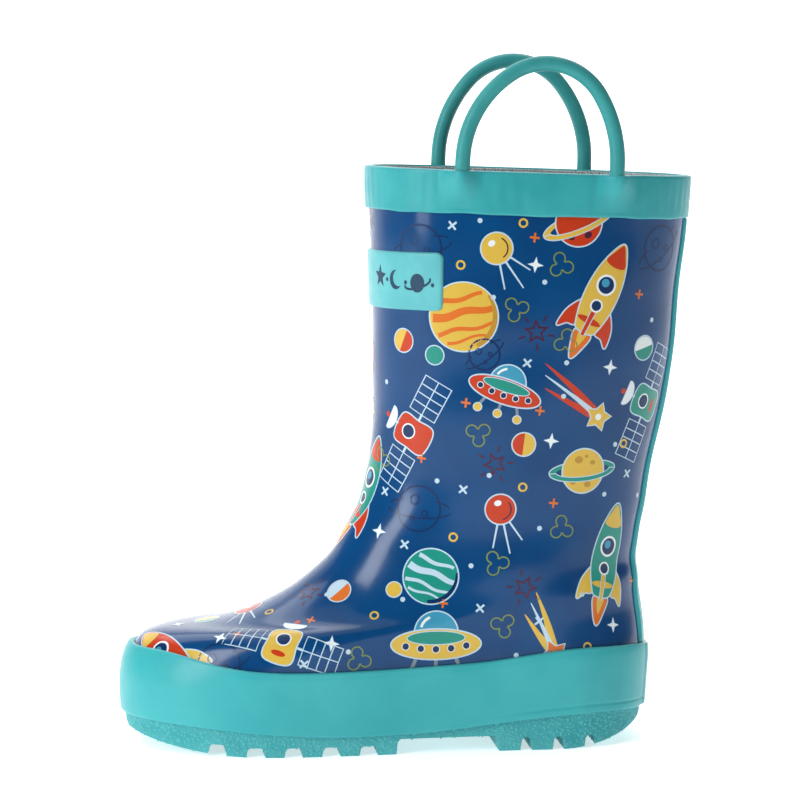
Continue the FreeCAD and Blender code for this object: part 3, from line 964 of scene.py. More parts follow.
def saucer(size: float, body: Ink, dome: Ink) -> Artwork:
    """Flying saucer, size millimetres wide.

    Args:
        size: its width.
        body: colour of the disc.
        dome: colour of the dome.

    Returns:
        The drawing.
    """
    k = size / 30
    art = Artwork()
    for side in (-1, 0, 1):
        art.paint(Ink.GREY, stroke(np.array([(side * 6, -3), (side * 8.4, -8.6)]) * k, 1.2 * k))
        art.paint(Ink.YELLOW, disc(side * 8.4 * k, -9.4 * k, 1.5 * k), Ink.PALE, 0.35)
    art.paint(dome, oval(0, 3.4 * k, 7.2 * k, 7.4 * k, first=0, last=180), Ink.PALE)
    art.paint(Ink.WHITE, stroke(oval(0, 3.8 * k, 5.4 * k, 5.6 * k, first=112, last=160, count=12), 0.9 * k))
    art.paint(body, oval(0, 0, 15 * k, 4.9 * k), Ink.PALE)
    art.paint(Ink.TEAL if body is not Ink.TEAL else Ink.YELLOW, oval(0, 2.1 * k, 9.6 * k, 2.1 * k), Ink.PALE,
              0.3)
    for i in range(5):
        art.paint(Ink.NAVY, oval((i - 2) * 5.1 * k, (-1.7 + 0.28 * (i - 2) ** 2) * k, 1.1 * k, 1.1 * k),
                  Ink.WHITE,
                  0.25)
    return art


def banded_planet(radius: float, body: Ink, band: Ink, moon: Ink | None = None) -> Artwork:
    """Planet with wavy bands, a shaded side and perhaps a moon.

    Args:
        radius: its radius.
        body: its colour.
        band: colour of the bands.
        moon: colour of a moon, or None.

    Returns:
        The drawing.
    """
    art = Artwork()
    if moon:
        art.paint(moon, disc(-1.08 * radius, -0.95 * radius, 0.27 * radius), Ink.PALE, 0.4)
    art.paint(body, disc(0, 0, radius, count=60), Ink.PALE)
    for high, thick in ((0.55, 0.16), (0.12, 0.26), (-0.36, 0.14), (-0.66, 0.10)):
        reach = radius * math.sqrt(max(0.0, 0.97 - (abs(high) + thick) ** 2))
        xs = np.linspace(-reach, reach, 14)
        wave = high * radius + 0.05 * radius * np.sin(xs / radius * 5 + 9 * high)
        art.paint(band, stroke(np.stack([xs, wave], axis=1), thick * radius, thick * radius * 0.7))
    art.paint(Ink.OCHRE if body is Ink.YELLOW else Ink.NAVY,
              np.concatenate([disc(0, 0, radius, count=18, first=-75, last=30),
                              disc(-0.12 * radius, 0.1 * radius, radius, count=18, first=20, last=-72)]))
    return art


def ringed_planet(radius: float, body: Ink, ring: Ink) -> Artwork:
    """Cratered planet with a tilted ring passing behind and in front.

    Args:
        radius: its radius.
        body: its colour.
        ring: colour of the ring.

    Returns:
        The drawing.
    """
    art = Artwork()
    wide, high, tilt = 1.62 * radius, 0.46 * radius, 22
    art.paint(ring, oval(0, 0, wide, high, tilt, 56), Ink.PALE, 0.4).paint(
        Ink.GROUND, oval(0, 0, 0.82 * wide, 0.62 * high, tilt, 48))
    art.paint(body, disc(0, 0, radius, count=52), Ink.PALE)
    for x, y, size in ((-0.4, 0.42, 0.2), (0.3, 0.5, 0.13), (-0.1, 0.68, 0.09), (0.42, -0.52, 0.17),
                       (-0.3, -0.62, 0.15), (0.05, -0.42, 0.08)):
        art.paint(Ink.MAROON if body is Ink.RED else Ink.OCHRE,
                  oval(x * radius, y * radius, size * radius, size * radius * 0.85, 20, 20))
    front = np.concatenate([oval(0, 0, wide, high, tilt, 30, 184, 356),
                            oval(0, 0, 0.82 * wide, 0.62 * high, tilt, 30, 356, 184)])
    return art.paint(ring, front, Ink.PALE, 0.3)


def small_planet(radius: float, body: Ink, cap: Ink) -> Artwork:
    """Two-tone planet."""
    art = Artwork().paint(body, disc(0, 0, radius, count=32), Ink.PALE, 0.45)
    return art.paint(cap, disc(0, 0, radius * 0.98, 30, 20, 20, 200))


def satellite(body: Ink, wing: Ink) -> Artwork:
    """Satellite with two panels of cells, a dish and an aerial.

    Args:
        body: colour of the box.
        wing: colour of the panels.

    Returns:
        The drawing.
    """
    art = Artwork()
    art.paint(Ink.PALE, stroke(np.array([(-21, 0), (-7, 0), (7, 0), (21, 0)]), 0.9))
    for side in (-1, 1):
        art.paint(wing, np.array([(side * 8, -5.2), (side * 21, -5.2), (side * 21, 5.2), (side * 8, 5.2)]),
                  Ink.PALE)
        for i in range(1, 4):
            x = side * (8 + 3.25 * i)
            art.paint(Ink.PALE, stroke(np.array([(x, -5.1), (x, 5.1)]), 0.4))
        art.paint(Ink.PALE, stroke(np.array([(side * 8, 0.0), (side * 21, 0.0)]), 0.4))
    art.paint(body, curve_through([(-4.6, -6.5), (4.6, -6.5), (5.2, 0), (4.6, 6.5), (-4.6, 6.5), (-5.2, 0)]),
              Ink.PALE)
    art.paint(Ink.NAVY, disc(0, 1.8, 2.3), Ink.WHITE, 0.5).paint(Ink.RED, oval(0, -3.8, 2.6, 1.0))
    art.paint(Ink.PALE, stroke(np.array([(0, 7), (0, 11)]), 0.8))
    art.paint(Ink.WHITE, oval(0, 11.6, 4.4, 3.2, 0, 20, 180, 360), Ink.PALE, 0.3)
    return art.paint(Ink.RED, disc(0, 13.0, 1.0))


def orbiter(radius: float, body: Ink) -> Artwork:
    """Round probe with three trailing rods.

    Args:
        radius: radius of the probe.
        body: its colour.

    Returns:
        The drawing.
    """
    art = Artwork()
    for angle, reach in ((276, 2.7), (299, 3.1), (322, 2.6)):
        a = math.radians(angle)
        line = np.array([(0, 0), (reach * radius * math.cos(a), reach * radius * math.sin(a))])
        art.paint(Ink.PALE, stroke(line, 0.9, 0.5))
    art.paint(body, disc(0, 0, radius, count=36), Ink.PALE)
    art.paint(Ink.WHITE, oval(-0.3 * radius, 0.35 * radius, 0.25 * radius, 0.2 * radius, 30, 16))
    return art.paint(Ink.MAROON, stroke(disc(0, 0, 0.72 * radius, first=-60, last=60, count=12), 0.5))


def comet(radius: float, head: Ink, tail: Ink, reach: float = 20.0) -> Artwork:
    """Comet whose tail sweeps to the upper left.

    Args:
        radius: radius of the head.
        head: its colour.
        tail: colour of the tail.
        reach: length of the tail.

    Returns:
        The drawing.
    """
    art = Artwork()
    for bend, ink, width in ((3.0, tail, 1.0), (-2.5, tail, 1.0), (0.4, Ink.PALE, 0.6)):
        line = curve_through([(0, 0), (-0.45 * reach, 0.35 * reach + bend),
                              (-reach, 0.75 * reach + bend * 1.6)],
                             6, closed=False)
        art.paint(ink, stroke(line, radius * width * 1.2, 0.3))
    art.paint(head, burst(0, 0, 5, radius * 1.5, radius * 0.8, 70), Ink.PALE)
    return art.paint(Ink.WHITE, disc(0, 0, radius * 0.35, count=16))


def line_planet(radius: float) -> Artwork:
    """Planet drawn in dark outline on the blue ground, with a thin ring.

    Args:
        radius: its radius.

    Returns:
        The drawing.
    """
    art = Artwork()
    art.paint(Ink.NAVY, disc(0, 0, radius + 0.35, count=44))
    art.paint(Ink.GROUND, disc(0, 0, radius - 0.35, count=44))
    for x, y, size in ((-0.3, 0.3, 0.24), (0.35, -0.1, 0.16), (-0.1, -0.5, 0.13)):
        art.paint(Ink.NAVY, disc(x * radius, y * radius, size * radius, count=18))
        art.paint(Ink.GROUND, disc(x * radius, y * radius, size * radius - 0.5, count=14))
    for start, end in ((190, 350), (20, 60), (120, 160)):
        art.paint(Ink.NAVY, stroke(oval(0, 0, 1.5 * radius, 0.42 * radius, 18, 24, start, end), 0.55))
    return art


def clover(size: float) -> Artwork:
    """Three-lobed outline like a drifting cloud of gas.

    Args:
        size: its half-width.

    Returns:
        The drawing.
    """
    art = Artwork()
    for angle in (90, 210, 330):
        a = math.radians(angle)
        x, y = 0.62 * size * math.cos(a), 0.62 * size * math.sin(a)
        art.paint(Ink.OLIVE, stroke(disc(x, y, 0.5 * size, count=26, first=angle - 140, last=angle + 140),
                                    0.5))
    return art


def sparkle(size: float, ink: Ink) -> Artwork:
    """Four-pointed star."""
    return Artwork().paint(ink, burst(0, 0, 4, size, size * 0.3), Ink.PALE, 0.3)


def dark_star(size: float) -> Artwork:
    """Maroon star outline with dashes round it.

    Args:
        size: reach of its tips.

    Returns:
        The drawing.
    """
    art = Artwork().paint(Ink.MAROON, burst(0, 0, 5, size, size * 0.45))
    art.paint(Ink.GROUND, burst(0, 0, 5, size - 1.5, size * 0.45 - 0.7))
    for i in range(5):
        a = math.radians(54 + 72 * i)
        line = np.array([(math.cos(a), math.sin(a))]) * np.array([[size * 0.95], [size * 1.45]])
        art.paint(Ink.MAROON, stroke(line, 0.6))
    return art


def mark(kind: Mark, size: float, ink: Ink) -> Artwork:
    """Small cross, plus, ring or dot.

    Args:
        kind: which sign.
        size: its half-width.
        ink: its colour.

    Returns:
        The drawing.
    """
    art = Artwork()
    if kind is Mark.DOT:
        return art.paint(ink, disc(0, 0, size, count=16))
    if kind is Mark.RING:
        return art.paint(ink, disc(0, 0, size, count=26)).paint(
            Ink.GROUND, disc(0, 0, size - 0.7, count=22))
    turn = 45 if kind is Mark.CROSS else 0
    for angle in (turn, turn + 90):
        a = math.radians(angle)
        line = np.array([(-math.cos(a), -math.sin(a)), (math.cos(a), math.sin(a))]) * size
        art.paint(ink, stroke(line, 0.75))
    return art


# ------------------------------------------------------------------------------------------- the print
@dataclass(frozen=True)
class Spot:
    """One drawing on the boot: its artwork, its place in side view and its turn in degrees."""

    art: Artwork
    x: float
    z: float
    turn: float = 0.0
    side: int = -1


class Print:
    """Space print laid over the whole upper as one thin skin of ink."""

    def __init__(self, surface: BodySurface, inks: dict[Ink, bpy.types.Material]) -> None:
        """Keeps the surface and the inks.

        Args:
            surface: the face that the ink lies on.
            inks: material of each ink.
        """
        self.surface, self.inks = surface, inks

    def outer_side(self) -> list[Spot]:
        """Drawings on the outer side, from the rim to the sole.

        Returns:
            Each drawing with its place.
        """
        spots = [Spot(line_planet(8.0), x, z, turn) for x, z, turn in
                 ((2, 178, 0), (88, 177, 20), (2, 86, -15), (-69, 32, 10))]
        spots += [Spot(line_planet(5.4), x, z, 25) for x, z in ((24, 141),)]
        spots += [Spot(mark(Mark.CROSS, 1.9, Ink.PALE), x, z) for x, z in
                  ((13, 186), (39, 138), (17, 93), (-3, 73), (-9, 91), (23, 51), (44, 46), (77, 97),
                   (-40, 33))]
        spots += [Spot(mark(Mark.RING, 1.7, Ink.YELLOW), x, z) for x, z in
                  ((37, 187), (16, 172), (-13, 134), (75, 108), (38, 94), (14, 76), (-14, 49), (-50, 48),
                   (62, 36))]
        spots += [Spot(mark(Mark.PLUS, 1.7, Ink.ORANGE), x, z) for x, z in
                  ((41, 182), (80, 161), (18, 124), (44, 121), (-13, 122), (3, 104), (49, 88), (10, 53),
                   (-36, 47),
                   (80, 57), (-62, 42))]
        spots += [Spot(mark(Mark.DOT, 0.9, Ink.PALE), x, z) for x, z in
                  ((22, 188), (45, 166), (0, 166), (27, 161), (85, 152), (53, 138), (-8, 130), (52, 126),
                   (72, 108), (26, 98), (8, 96), (68, 90), (44, 79), (20, 66), (-4, 54), (60, 55), (36, 34),
                   (-24, 37), (-80, 30), (-30, 55), (82, 88))]
        spots += [Spot(orbiter(5.4, Ink.YELLOW), 28, 178, 12), Spot(orbiter(5.2, Ink.RED), 30, 86, -10),
                  Spot(ringed_planet(8.2, Ink.RED, Ink.YELLOW), 57, 187, 6),
                  Spot(ringed_planet(7.8, Ink.YELLOW, Ink.TEAL), 60, 99, -12),
                  Spot(rocket(Ink.YELLOW, Ink.RED), 65, 160, -20),
                  Spot(rocket(Ink.TEAL, Ink.YELLOW), 69, 66, -8),
                  Spot(banded_planet(12.0, Ink.YELLOW, Ink.ORANGE, Ink.TEAL), 17, 154, 18),
                  Spot(banded_planet(9.6, Ink.TEAL, Ink.PALE, Ink.YELLOW), 6, 62, -14),
                  Spot(small_planet(4.0, Ink.RED, Ink.YELLOW), -3, 145, 20),
                  Spot(small_planet(4.2, Ink.TEAL, Ink.WHITE), 82, 142, -30),
                  Spot(small_planet(4.0, Ink.YELLOW, Ink.RED), 38, 109, 40),
                  Spot(small_planet(4.2, Ink.ORANGE, Ink.PALE), -26, 56, 10),
                  Spot(satellite(Ink.RED, Ink.GROUND), 0, 112, 66),
                  Spot(satellite(Ink.YELLOW, Ink.GROUND), -47, 40, -8),
                  Spot(satellite(Ink.TEAL, Ink.GROUND), 84, 122, 74),
                  Spot(saucer(26, Ink.RED, Ink.SKY), 31, 128, -12),
                  Spot(saucer(32, Ink.YELLOW, Ink.SKY), 7, 39, 6),
                  Spot(comet(3.4, Ink.YELLOW, Ink.RED), 65, 118, 8),
                  Spot(comet(3.4, Ink.ORANGE, Ink.YELLOW, 16), 50, 34, -20),
                  Spot(rocket(Ink.RED, Ink.YELLOW), -86, 33, 66)]
        spots += [Spot(clover(4.0), x, z, turn) for x, z, turn in
                  ((51, 172, 20), (35, 157, 50), (53, 145, 0), (22, 113, 70), (-10, 102, 30), (52, 79, 10),
                   (29, 67, 40), (31, 45, 80), (-20, 34, 20), (88, 102, 50))]
        spots += [Spot(dark_star(4.6), x, z, turn) for x, z, turn in
                  ((42, 149, 10), (28, 102, 30), (39, 58, -15), (86, 40, 20), (-13, 187, 0))]
        spots += [Spot(sparkle(2.6, Ink.WHITE), x, z) for x, z in
                  ((69, 136), (48, 110), (-11, 77), (72, 43), (42, 172), (-68, 41), (-30, 40))]
        return spots

    def inner_side(self) -> list[Spot]:
        """Drawings on the inner side and round the front, in an order of their own.

        Returns:
            Each drawing with its place.
        """
        # What stands at 69 on the outer side stands 3 mm further back here.
        spots = [Spot(s.art, (72 if s.x == 69 else s.x) - 1, s.z + 1, -s.turn, 1) for s in self.outer_side()
                 if s.x > -20 or s.z < 47]
        spots += [Spot(orbiter(5.0, Ink.RED), -57, 49, 40), Spot(sparkle(3.0, Ink.WHITE), -82, 43),
                  Spot(dark_star(4.6), -36, 55, 20),
                  Spot(small_planet(4.2, Ink.TEAL, Ink.YELLOW), -72, 46, 30)]
        spots += [Spot(rocket(Ink.TEAL, Ink.RED), -15, 90, -14), Spot(sparkle(3.0, Ink.YELLOW), -12, 118),
                  Spot(small_planet(4.4, Ink.RED, Ink.PALE), -13, 139, 10, 1)]
        return spots

    def build(self) -> bpy.types.Object:
        """Lays every drawing on the upper.

        Returns:
            The skin of ink.
        """
        spots, first = self.outer_side() + self.inner_side(), 0
        turns, levels, faces, inks = [], [], [], []
        for spot in spots:
            flat, cut, colours = spot.art.triangles()
            turn, level = self.surface.place(spot.x, spot.z, spot.side)
            walked = self.surface.walk(turn, level, spot.turn, flat)
            turns.append(walked[0])
            levels.append(walked[1])
            faces.extend([i + first for i in face] for face in cut)
            inks.extend(colours)
            first += len(flat)
        turn, level = np.concatenate(turns), np.concatenate(levels)
        points = self.surface.at(turn, level, INK_LIFT)
        kept = [k for k, face in enumerate(faces) if INK_LOWEST < level[face[0]] < INK_HIGHEST]
        palette = [ink for ink in Ink if ink is not Ink.GROUND]
        piece = mesh_object("upper_print", points, [faces[k] for k in kept], self.inks[palette[0]],
                            outwards=False)
        piece.data.materials.clear()
        for ink in palette:
            piece.data.materials.append(self.inks[ink])
        piece.data.polygons.foreach_set("material_index", [palette.index(inks[k]) for k in kept])
        normals = self.surface.normal(turn, level)
        face_normals = np.array([p.normal[:] for p in piece.data.polygons])
        firsts = np.array([faces[k][0] for k in kept])
        wrong = np.einsum("ij,ij->i", face_normals, normals[firsts]) < 0
        for k in np.nonzero(wrong)[0]:
            piece.data.polygons[int(k)].flip()
        piece.data.normals_split_custom_set_from_vertices(normals.tolist())
        log.info("print: %d drawings, %d faces", len(spots), len(kept))
        return piece


# ------------------------------------------------------------------------------------------- pieces
class Shells:
    """The boot's closed layers, each made by carrying a section round the body surface."""

    def __init__(self, surface: BodySurface, finishes: dict[str, bpy.types.Material]) -> None:
        """Keeps the surface and the finishes.

        Args:
            surface: the body surface.
            finishes: materials by name.
        """
        self.surface, self.finishes, self.sizes = surface, finishes, surface.sizes

    def carried(self, name: str, finish: str, columns: int, low: np.ndarray, high: np.ndarray,
                shares: np.ndarray,
                offsets: np.ndarray, uv: bool = False) -> bpy.types.Object:
        """Carries a closed section once round the boot.

        Args:
            name: the piece's name.
            finish: its material's name.
            columns: number of places round the boot.
            low: level of the section's foot at each place.
            high: level of its top at each place.
            shares: height of each section point, 0 at the foot to 1 at the top (it may pass both).
            offsets: distance of each section point from the surface; one row, or one row for each point.
            uv: writes a UV map in metres called cloth.

        Returns:
            The piece.
        """
        turn = evenly(columns)
        level = low[None, :] + (high - low)[None, :] * shares[:, None]
        turns = np.broadcast_to(turn, level.shape)
        offsets = np.broadcast_to(offsets if offsets.ndim == 2 else offsets[:, None], level.shape)
        points = self.surface.at(turns, np.clip(level, 0, 1), offsets)
        piece = mesh_object(name, points, loop_faces(len(shares), columns, True, True),
                            self.finishes[finish])
        if uv:
            layer, corners = cloth_map(piece)
            column = corners % columns
            per_face = column.reshape(-1, 4)
            wraps = (per_face.max(axis=1) - per_face.min(axis=1) > 1)[:, None] & (per_face == 0)
            across = (column + columns * wraps.reshape(-1)) * 0.30 / columns
            up = points.reshape(-1, 3)[corners, 2] * MM
            layer.data.foreach_set("uv", np.stack([across, up], axis=1).ravel())
        log.info("%s: %d faces", name, len(piece.data.polygons))
        return piece

    def seat_levels(self, columns: int, above: float = 0.0) -> np.ndarray:
        """Level of the foxing's underside, plus a height, at each place round the boot."""
        return self.surface.level_where(evenly(columns), self.surface.above_seat, above)

    def rim_levels(self, columns: int, above: float = 0.0) -> np.ndarray:
        """Level of the rim, plus a height, at each place round the boot."""
        return self.surface.level_where(evenly(columns), self.surface.above_rim, above)

    def upper(self) -> bpy.types.Object:
        """Glossy printed upper.

        Returns:
            The piece.
        """
        s, columns, outside, inside = self.sizes, 288, 190, 46
        shares = np.concatenate([np.linspace(0, 0.997, outside), [0.9995, 1.0, 1.0, 0.9995],
                                 np.linspace(0.997, 0, inside)])
        offsets = np.concatenate([np.zeros(outside),
                                  [-0.15, -0.6, -s.upper_thickness + 0.6, -s.upper_thickness + 0.15],
                                  np.full(inside, -s.upper_thickness)])
        return self.carried("upper", "printed rubber", columns, self.seat_levels(columns),
                            self.rim_levels(columns, -0.8), shares, offsets)

    def lining(self) -> bpy.types.Object:
        """Knit lining, a little puffy between the stitches of its top edge.

        Returns:
            The piece.
        """
        s, columns, outside, inside = self.sizes, 260, 40, 110
        outer, inner = -s.upper_thickness - 0.05, -s.upper_thickness - s.lining_thickness
        shares = np.concatenate([np.linspace(0, 0.996, outside), [0.9985, 1.0, 1.0005, 1.0, 0.9985],
                                 np.linspace(0.996, 0, inside)])
        offsets = np.concatenate([np.full(outside, outer),
                                  [outer - 0.06, outer - 0.3, outer - 0.66, outer - 1.0,
                                                       outer - 1.25], np.full(inside, inner)])
        turn = evenly(columns)
        rows = np.repeat(offsets[:, None], columns, axis=1)
        folds = 0.30 * np.sin(2 * np.pi * turn * 9)[None, :] * np.sin(shares * 23)[:, None]
        folds += 0.22 * np.sin(2 * np.pi * turn * 17 + 1.0)[None, :] * np.cos(shares * 41)[:, None]
        within = slice(outside + 6, None)
        rows[within] -= np.abs(folds[within]) * (1 - shares[within, None] ** 8)
        low = self.seat_levels(columns, s.filler_thickness + s.board_thickness)
        return self.carried("lining_knit", "heathered knit", columns, low, self.rim_levels(columns, -0.5),
                            shares,
                            rows, uv=True)

    def foxing(self) -> bpy.types.Object:
        """Foxing band with a rounded top, a scored line near its foot and its lap at the outer heel.

        Returns:
            The piece.
        """
        s, columns = self.sizes, 400
        turn = evenly(columns)
        low = self.seat_levels(columns)
        wander = 0.28 * np.sin(2 * np.pi * turn * 5 + 0.7) + 0.18 * np.sin(2 * np.pi * turn * 11 + 2.0)
        high = self.surface.level_where(turn, self.surface.above_foxing, wander)
        lap = 0.38 * smooth_step(turn, 0.4655, 0.4675) * (1 - smooth_step(turn, 0.4675, 0.56))
        top = s.foxing_thickness
        face = np.linspace(0.035, 0.955, 44)
        groove = -0.10 * np.exp(-(((face - 0.94) / 0.03) ** 2))
        crown = 0.10 * np.sin(np.pi * face)
        shares = np.concatenate([[0.0, 0.003, 0.012], face, [0.975, 0.990, 0.998, 1.0, 0.999],
                                 np.linspace(0.98, 0.0, 8)])
        offsets = np.concatenate([[top - 0.5, top - 0.2, top - 0.04], top + groove + crown,
                                  [top - 0.10, top - 0.42, top - 0.95, top - 1.6, 0.02], np.full(8, 0.0)])
        rows = np.repeat(offsets[:, None], columns, axis=1)
        begin, end = 3, 3 + len(face)  # rows of the upright face
        brow = end + 5  # end of the rounded top
        scored = 0.34 * smooth_step(0.5 - np.abs(turn - 0.5), 0.30, 0.36)
        rows[begin:end] -= scored[None, :] * np.exp(-(((face[:, None] - 0.125) / 0.013) ** 2))
        rows[:brow] += lap[None, :] * np.minimum(1.0, shares[:brow, None] * 60 + 0.2)
        return self.carried("foxing", "teal rubber", columns, low, high, shares, rows)

    def collar(self) -> bpy.types.Object:
        """Collar band folded over the rim, swollen where it covers the ends of the handles.

        Returns:
            The piece.
        """
        s, columns = self.sizes, 720
        turn = evenly(columns)
        wander = 0.16 * np.sin(2 * np.pi * turn * 7 + 0.3) + 0.10 * np.sin(2 * np.pi * turn * 19)
        low = self.surface.level_where(turn, self.surface.above_rim, -s.collar_height + wander)
        high = self.rim_levels(columns, 0.1)
        out = s.collar_thickness
        face = np.linspace(0.05, 0.93, 46)
        shares = np.concatenate([[0.0, 0.006, 0.022], face,
                                 [0.965, 0.988, 1.000, 1.006, 1.006, 1.000, 0.985, 0.956],
                                 [0.956, 0.940], np.linspace(0.92, 0.0, 15)])
        inner = -s.upper_thickness
        offsets = np.concatenate([[0.45, 0.95, out - 0.08], out + 0.09 * np.sin(np.pi * face),
                                  [out - 0.04, out - 0.24, out - 0.65, out - 1.3, inner + 0.7, inner + 0.25,
                                   inner + 0.05, inner + 0.02], [0.0, 0.0], np.zeros(15)])
        rows = np.repeat(offsets[:, None], columns, axis=1)
        begin, end = 3, 3 + len(face)  # rows of the upright face
        middle = self.surface.plain(turn, (low + high) / 2)
        near_rim = self.surface.plain(turn, high)
        height = np.clip(shares, 0, 1)[:, None]
        for side in (-1, 1):
            for along in (s.handle_setback, s.handle_setback + s.handle_span):
                x = s.rim_front_x + along
                away = np.abs(near_rim[:, 0] - x) + 1000 * (np.sign(middle[:, 1]) != side)
                wide = 5.4 - 1.3 * height
                bulge = np.exp(-((away[None, :] / wide) ** 2)) * (0.55 + 3.75 * smooth_step(height, 0.24,
                                                                                            0.93))
                bulge *= smooth_step(height, 0.10, 0.34)
                dent = -0.20 * np.exp(-(((away[None, :] - 7.4) / 1.3) ** 2)) * smooth_step(height, 0.35, 0.9)
                rows[:end + 4] += (bulge + dent)[:end + 4]
        fine = 0.07 * np.sin(2 * np.pi * turn * 64) * np.sin(2 * np.pi * turn * 5 + 1)
        rows[begin:end] += fine[None, :] * np.sin(np.pi * face)[:, None]
        return self.carried("collar", "collar rubber", columns, low, high, shares, rows)

    def patch(self, name: str, finish: str, first: float, last: float, low: Callable, high: Callable,
              thickness: float, corner: float, columns: int, rows: int,
              crown: float = 0.0) -> bpy.types.Object:
        """Flat strip glued on the upper, with rounded corners and edges.

        Args:
            name: the piece's name.
            finish: its material's name.
            first: turn where it starts.
            last: turn where it ends.
            low: function of turns that gives its foot's levels.
            high: function of turns that gives its top's levels.
            thickness: how far it stands proud.
            corner: radius of its corners, as a share of its height.
            columns: steps along it.
            rows: steps up it.
            crown: how much thicker its middle is.

        Returns:
            The piece.
        """
        edge_radius, lip, gap = 0.7, 0.04, 0.01  # round edge, its thickness, and the room under the strip
        across, up = np.meshgrid(np.linspace(-1, 1, columns), np.linspace(-1, 1, rows))
        turn = first + (last - first) * (across[0] + 1) / 2
        foot, top = low(turn), high(turn)
        ratio = np.linalg.norm(np.diff(self.surface.plain(turn, (foot + top) / 2), axis=0), axis=1).sum()
        tall = np.linalg.norm(self.surface.plain(turn[:1], top[:1]) - self.surface.plain(turn[:1], foot[:1]))
        half_wide, half_tall = ratio / 2, tall / 2
        radius = corner * half_tall
        px, py = across * half_wide, up * half_tall
        inset_x = np.maximum(np.abs(px) - (half_wide - radius), 0)
        inset_y = np.maximum(np.abs(py) - (half_tall - radius), 0)
        both = (inset_x > 0) & (inset_y > 0)
        reach = np.maximum(np.hypot(inset_x, inset_y), 1e-9)
        squeeze = np.where(both, np.maximum(inset_x, inset_y) / reach, 1.0)
        px = np.sign(px) * (np.minimum(np.abs(px), half_wide - radius) + inset_x * squeeze)
        py = np.sign(py) * (np.minimum(np.abs(py), half_tall - radius) + inset_y * squeeze)
        edge = np.minimum(half_wide - np.abs(across * half_wide), half_tall - np.abs(up * half_tall))
        rounding = np.sqrt(np.clip(1 - (1 - np.clip(edge / edge_radius, 0, 1)) ** 2, 0, 1))
        turns = first + (last - first) * (px / half_wide + 1) / 2
        share = (py / half_tall + 1) / 2
        foots, tops = np.interp(turns, turn, foot), np.interp(turns, turn, top)
        level = foots + (tops - foots) * share
        proud = lip + (thickness - lip) * rounding + crown * (1 - up**2) * (rounding > 0.9)
        outer = self.surface.at(turns, level, proud).reshape(-1, 3)
        inner = self.surface.at(turns, level, gap).reshape(-1, 3)
        count = rows * columns
        faces = loop_faces(rows, columns, False, False)
        faces += [tuple(reversed([i + count for i in face])) for face in faces]
        ring = (list(range(columns)) + [i * columns + columns - 1 for i in range(1, rows)]
                + [(rows - 1) * columns + j for j in range(columns - 2, -1, -1)]
                + [i * columns for i in range(rows - 2, 0, -1)])
        for a, b in zip(ring, ring[1:] + ring[:1]):
            faces.append((b, a, a + count, b + count))
        return mesh_object(name, np.concatenate([outer, inner]), faces, self.finishes[finish])

    def back_stay(self) -> bpy.types.Object:
        """Narrow strip up the back of the leg.

        Returns:
            The piece.
        """
        s, half = self.sizes, 0.0395
        tuck = 0.6  # what the foxing and the collar hide of each end
        return self.patch("back_stay_strip", "teal rubber", 0.5 - half, 0.5 + half,
                          lambda t: self.surface.level_where(t, self.surface.above_foxing, -tuck),
                          lambda t: self.surface.level_where(t, self.surface.above_rim,
                                                             -s.collar_height + tuck),
                          thickness=s.stay_thickness, corner=0.0, columns=26, rows=150, crown=0.35)

    def label_turn(self) -> float:
        """Turn at which the label ends on the outer side.

        Returns:
            The turn.
        """
        s = self.sizes
        turn = np.linspace(0.01, 0.3, 300)
        level = self.surface.level_where(turn, self.surface.height, s.label_bottom + s.label_height / 2)
        return float(np.interp(s.leg_x + s.label_reach, self.surface.plain(turn, level)[:, 0], turn))

    def label(self) -> bpy.types.Object:
        """Label patch wrapped round the front of the leg.

        Returns:
            The piece.
        """
        s, end = self.sizes, self.label_turn()
        return self.patch("label", "label rubber", -end, end,
                          lambda t: self.surface.level_where(t, self.surface.height, s.label_bottom),
                          lambda t: self.surface.level_where(t, self.surface.height,
                                                             s.label_bottom + s.label_height),
                          thickness=s.label_thickness, corner=0.22, columns=150, rows=52)

    def label_shapes(self) -> bpy.types.Object:
        """Generic dark shapes printed on the label: a star, a moon and a ringed planet on each side.

        Returns:
            The piece.
        """
        s, end = self.sizes, self.label_turn()
        art = Artwork()
        art.paint(Ink.NAVY, burst(-13.0, 0.4, 5, 4.6, 2.0))
        art.paint(Ink.NAVY, disc(-2.2, 0.2, 3.6)).paint(Ink.GROUND, disc(-0.7, 0.9, 3.0))
        art.paint(Ink.NAVY, disc(9.6, 0, 3.5))
        art.paint(Ink.NAVY, stroke(oval(9.6, 0, 6.4, 1.9, 16, 34, 165, 375), 0.9))
        for x in (-7.6, 3.6, 17.0):
            art.paint(Ink.NAVY, disc(x, -0.2, 0.8, count=14))
        flat, cut, _ = art.triangles(0.9)
        reach, scale = 0.60, (0.78, 0.95)  # place along the label, and size of the shapes
        points, faces, first = [], [], 0
        for side in (-1, 1):
            middle = reach * end * (1 if side < 0 else -1)
            level = float(self.surface.level_where(np.array([middle % 1.0]), self.surface.height,
                                                   s.label_bottom + s.label_height / 2)[0])
            turn, up = self.surface.walk(middle, level, 0.0, flat * scale)
            points.append(self.surface.at(turn, up, s.label_thickness + 0.05))
            faces += [[i + first for i in face] for face in cut]
            first += len(flat)
        piece = mesh_object("label_shapes", np.concatenate(points), faces, self.finishes["label ink"],
                            outwards=False)
        for p in piece.data.polygons:
            if p.normal.x > 0.2 or p.normal.y * p.center.y < -0.02 * abs(p.center.y):
                p.flip()
        return piece


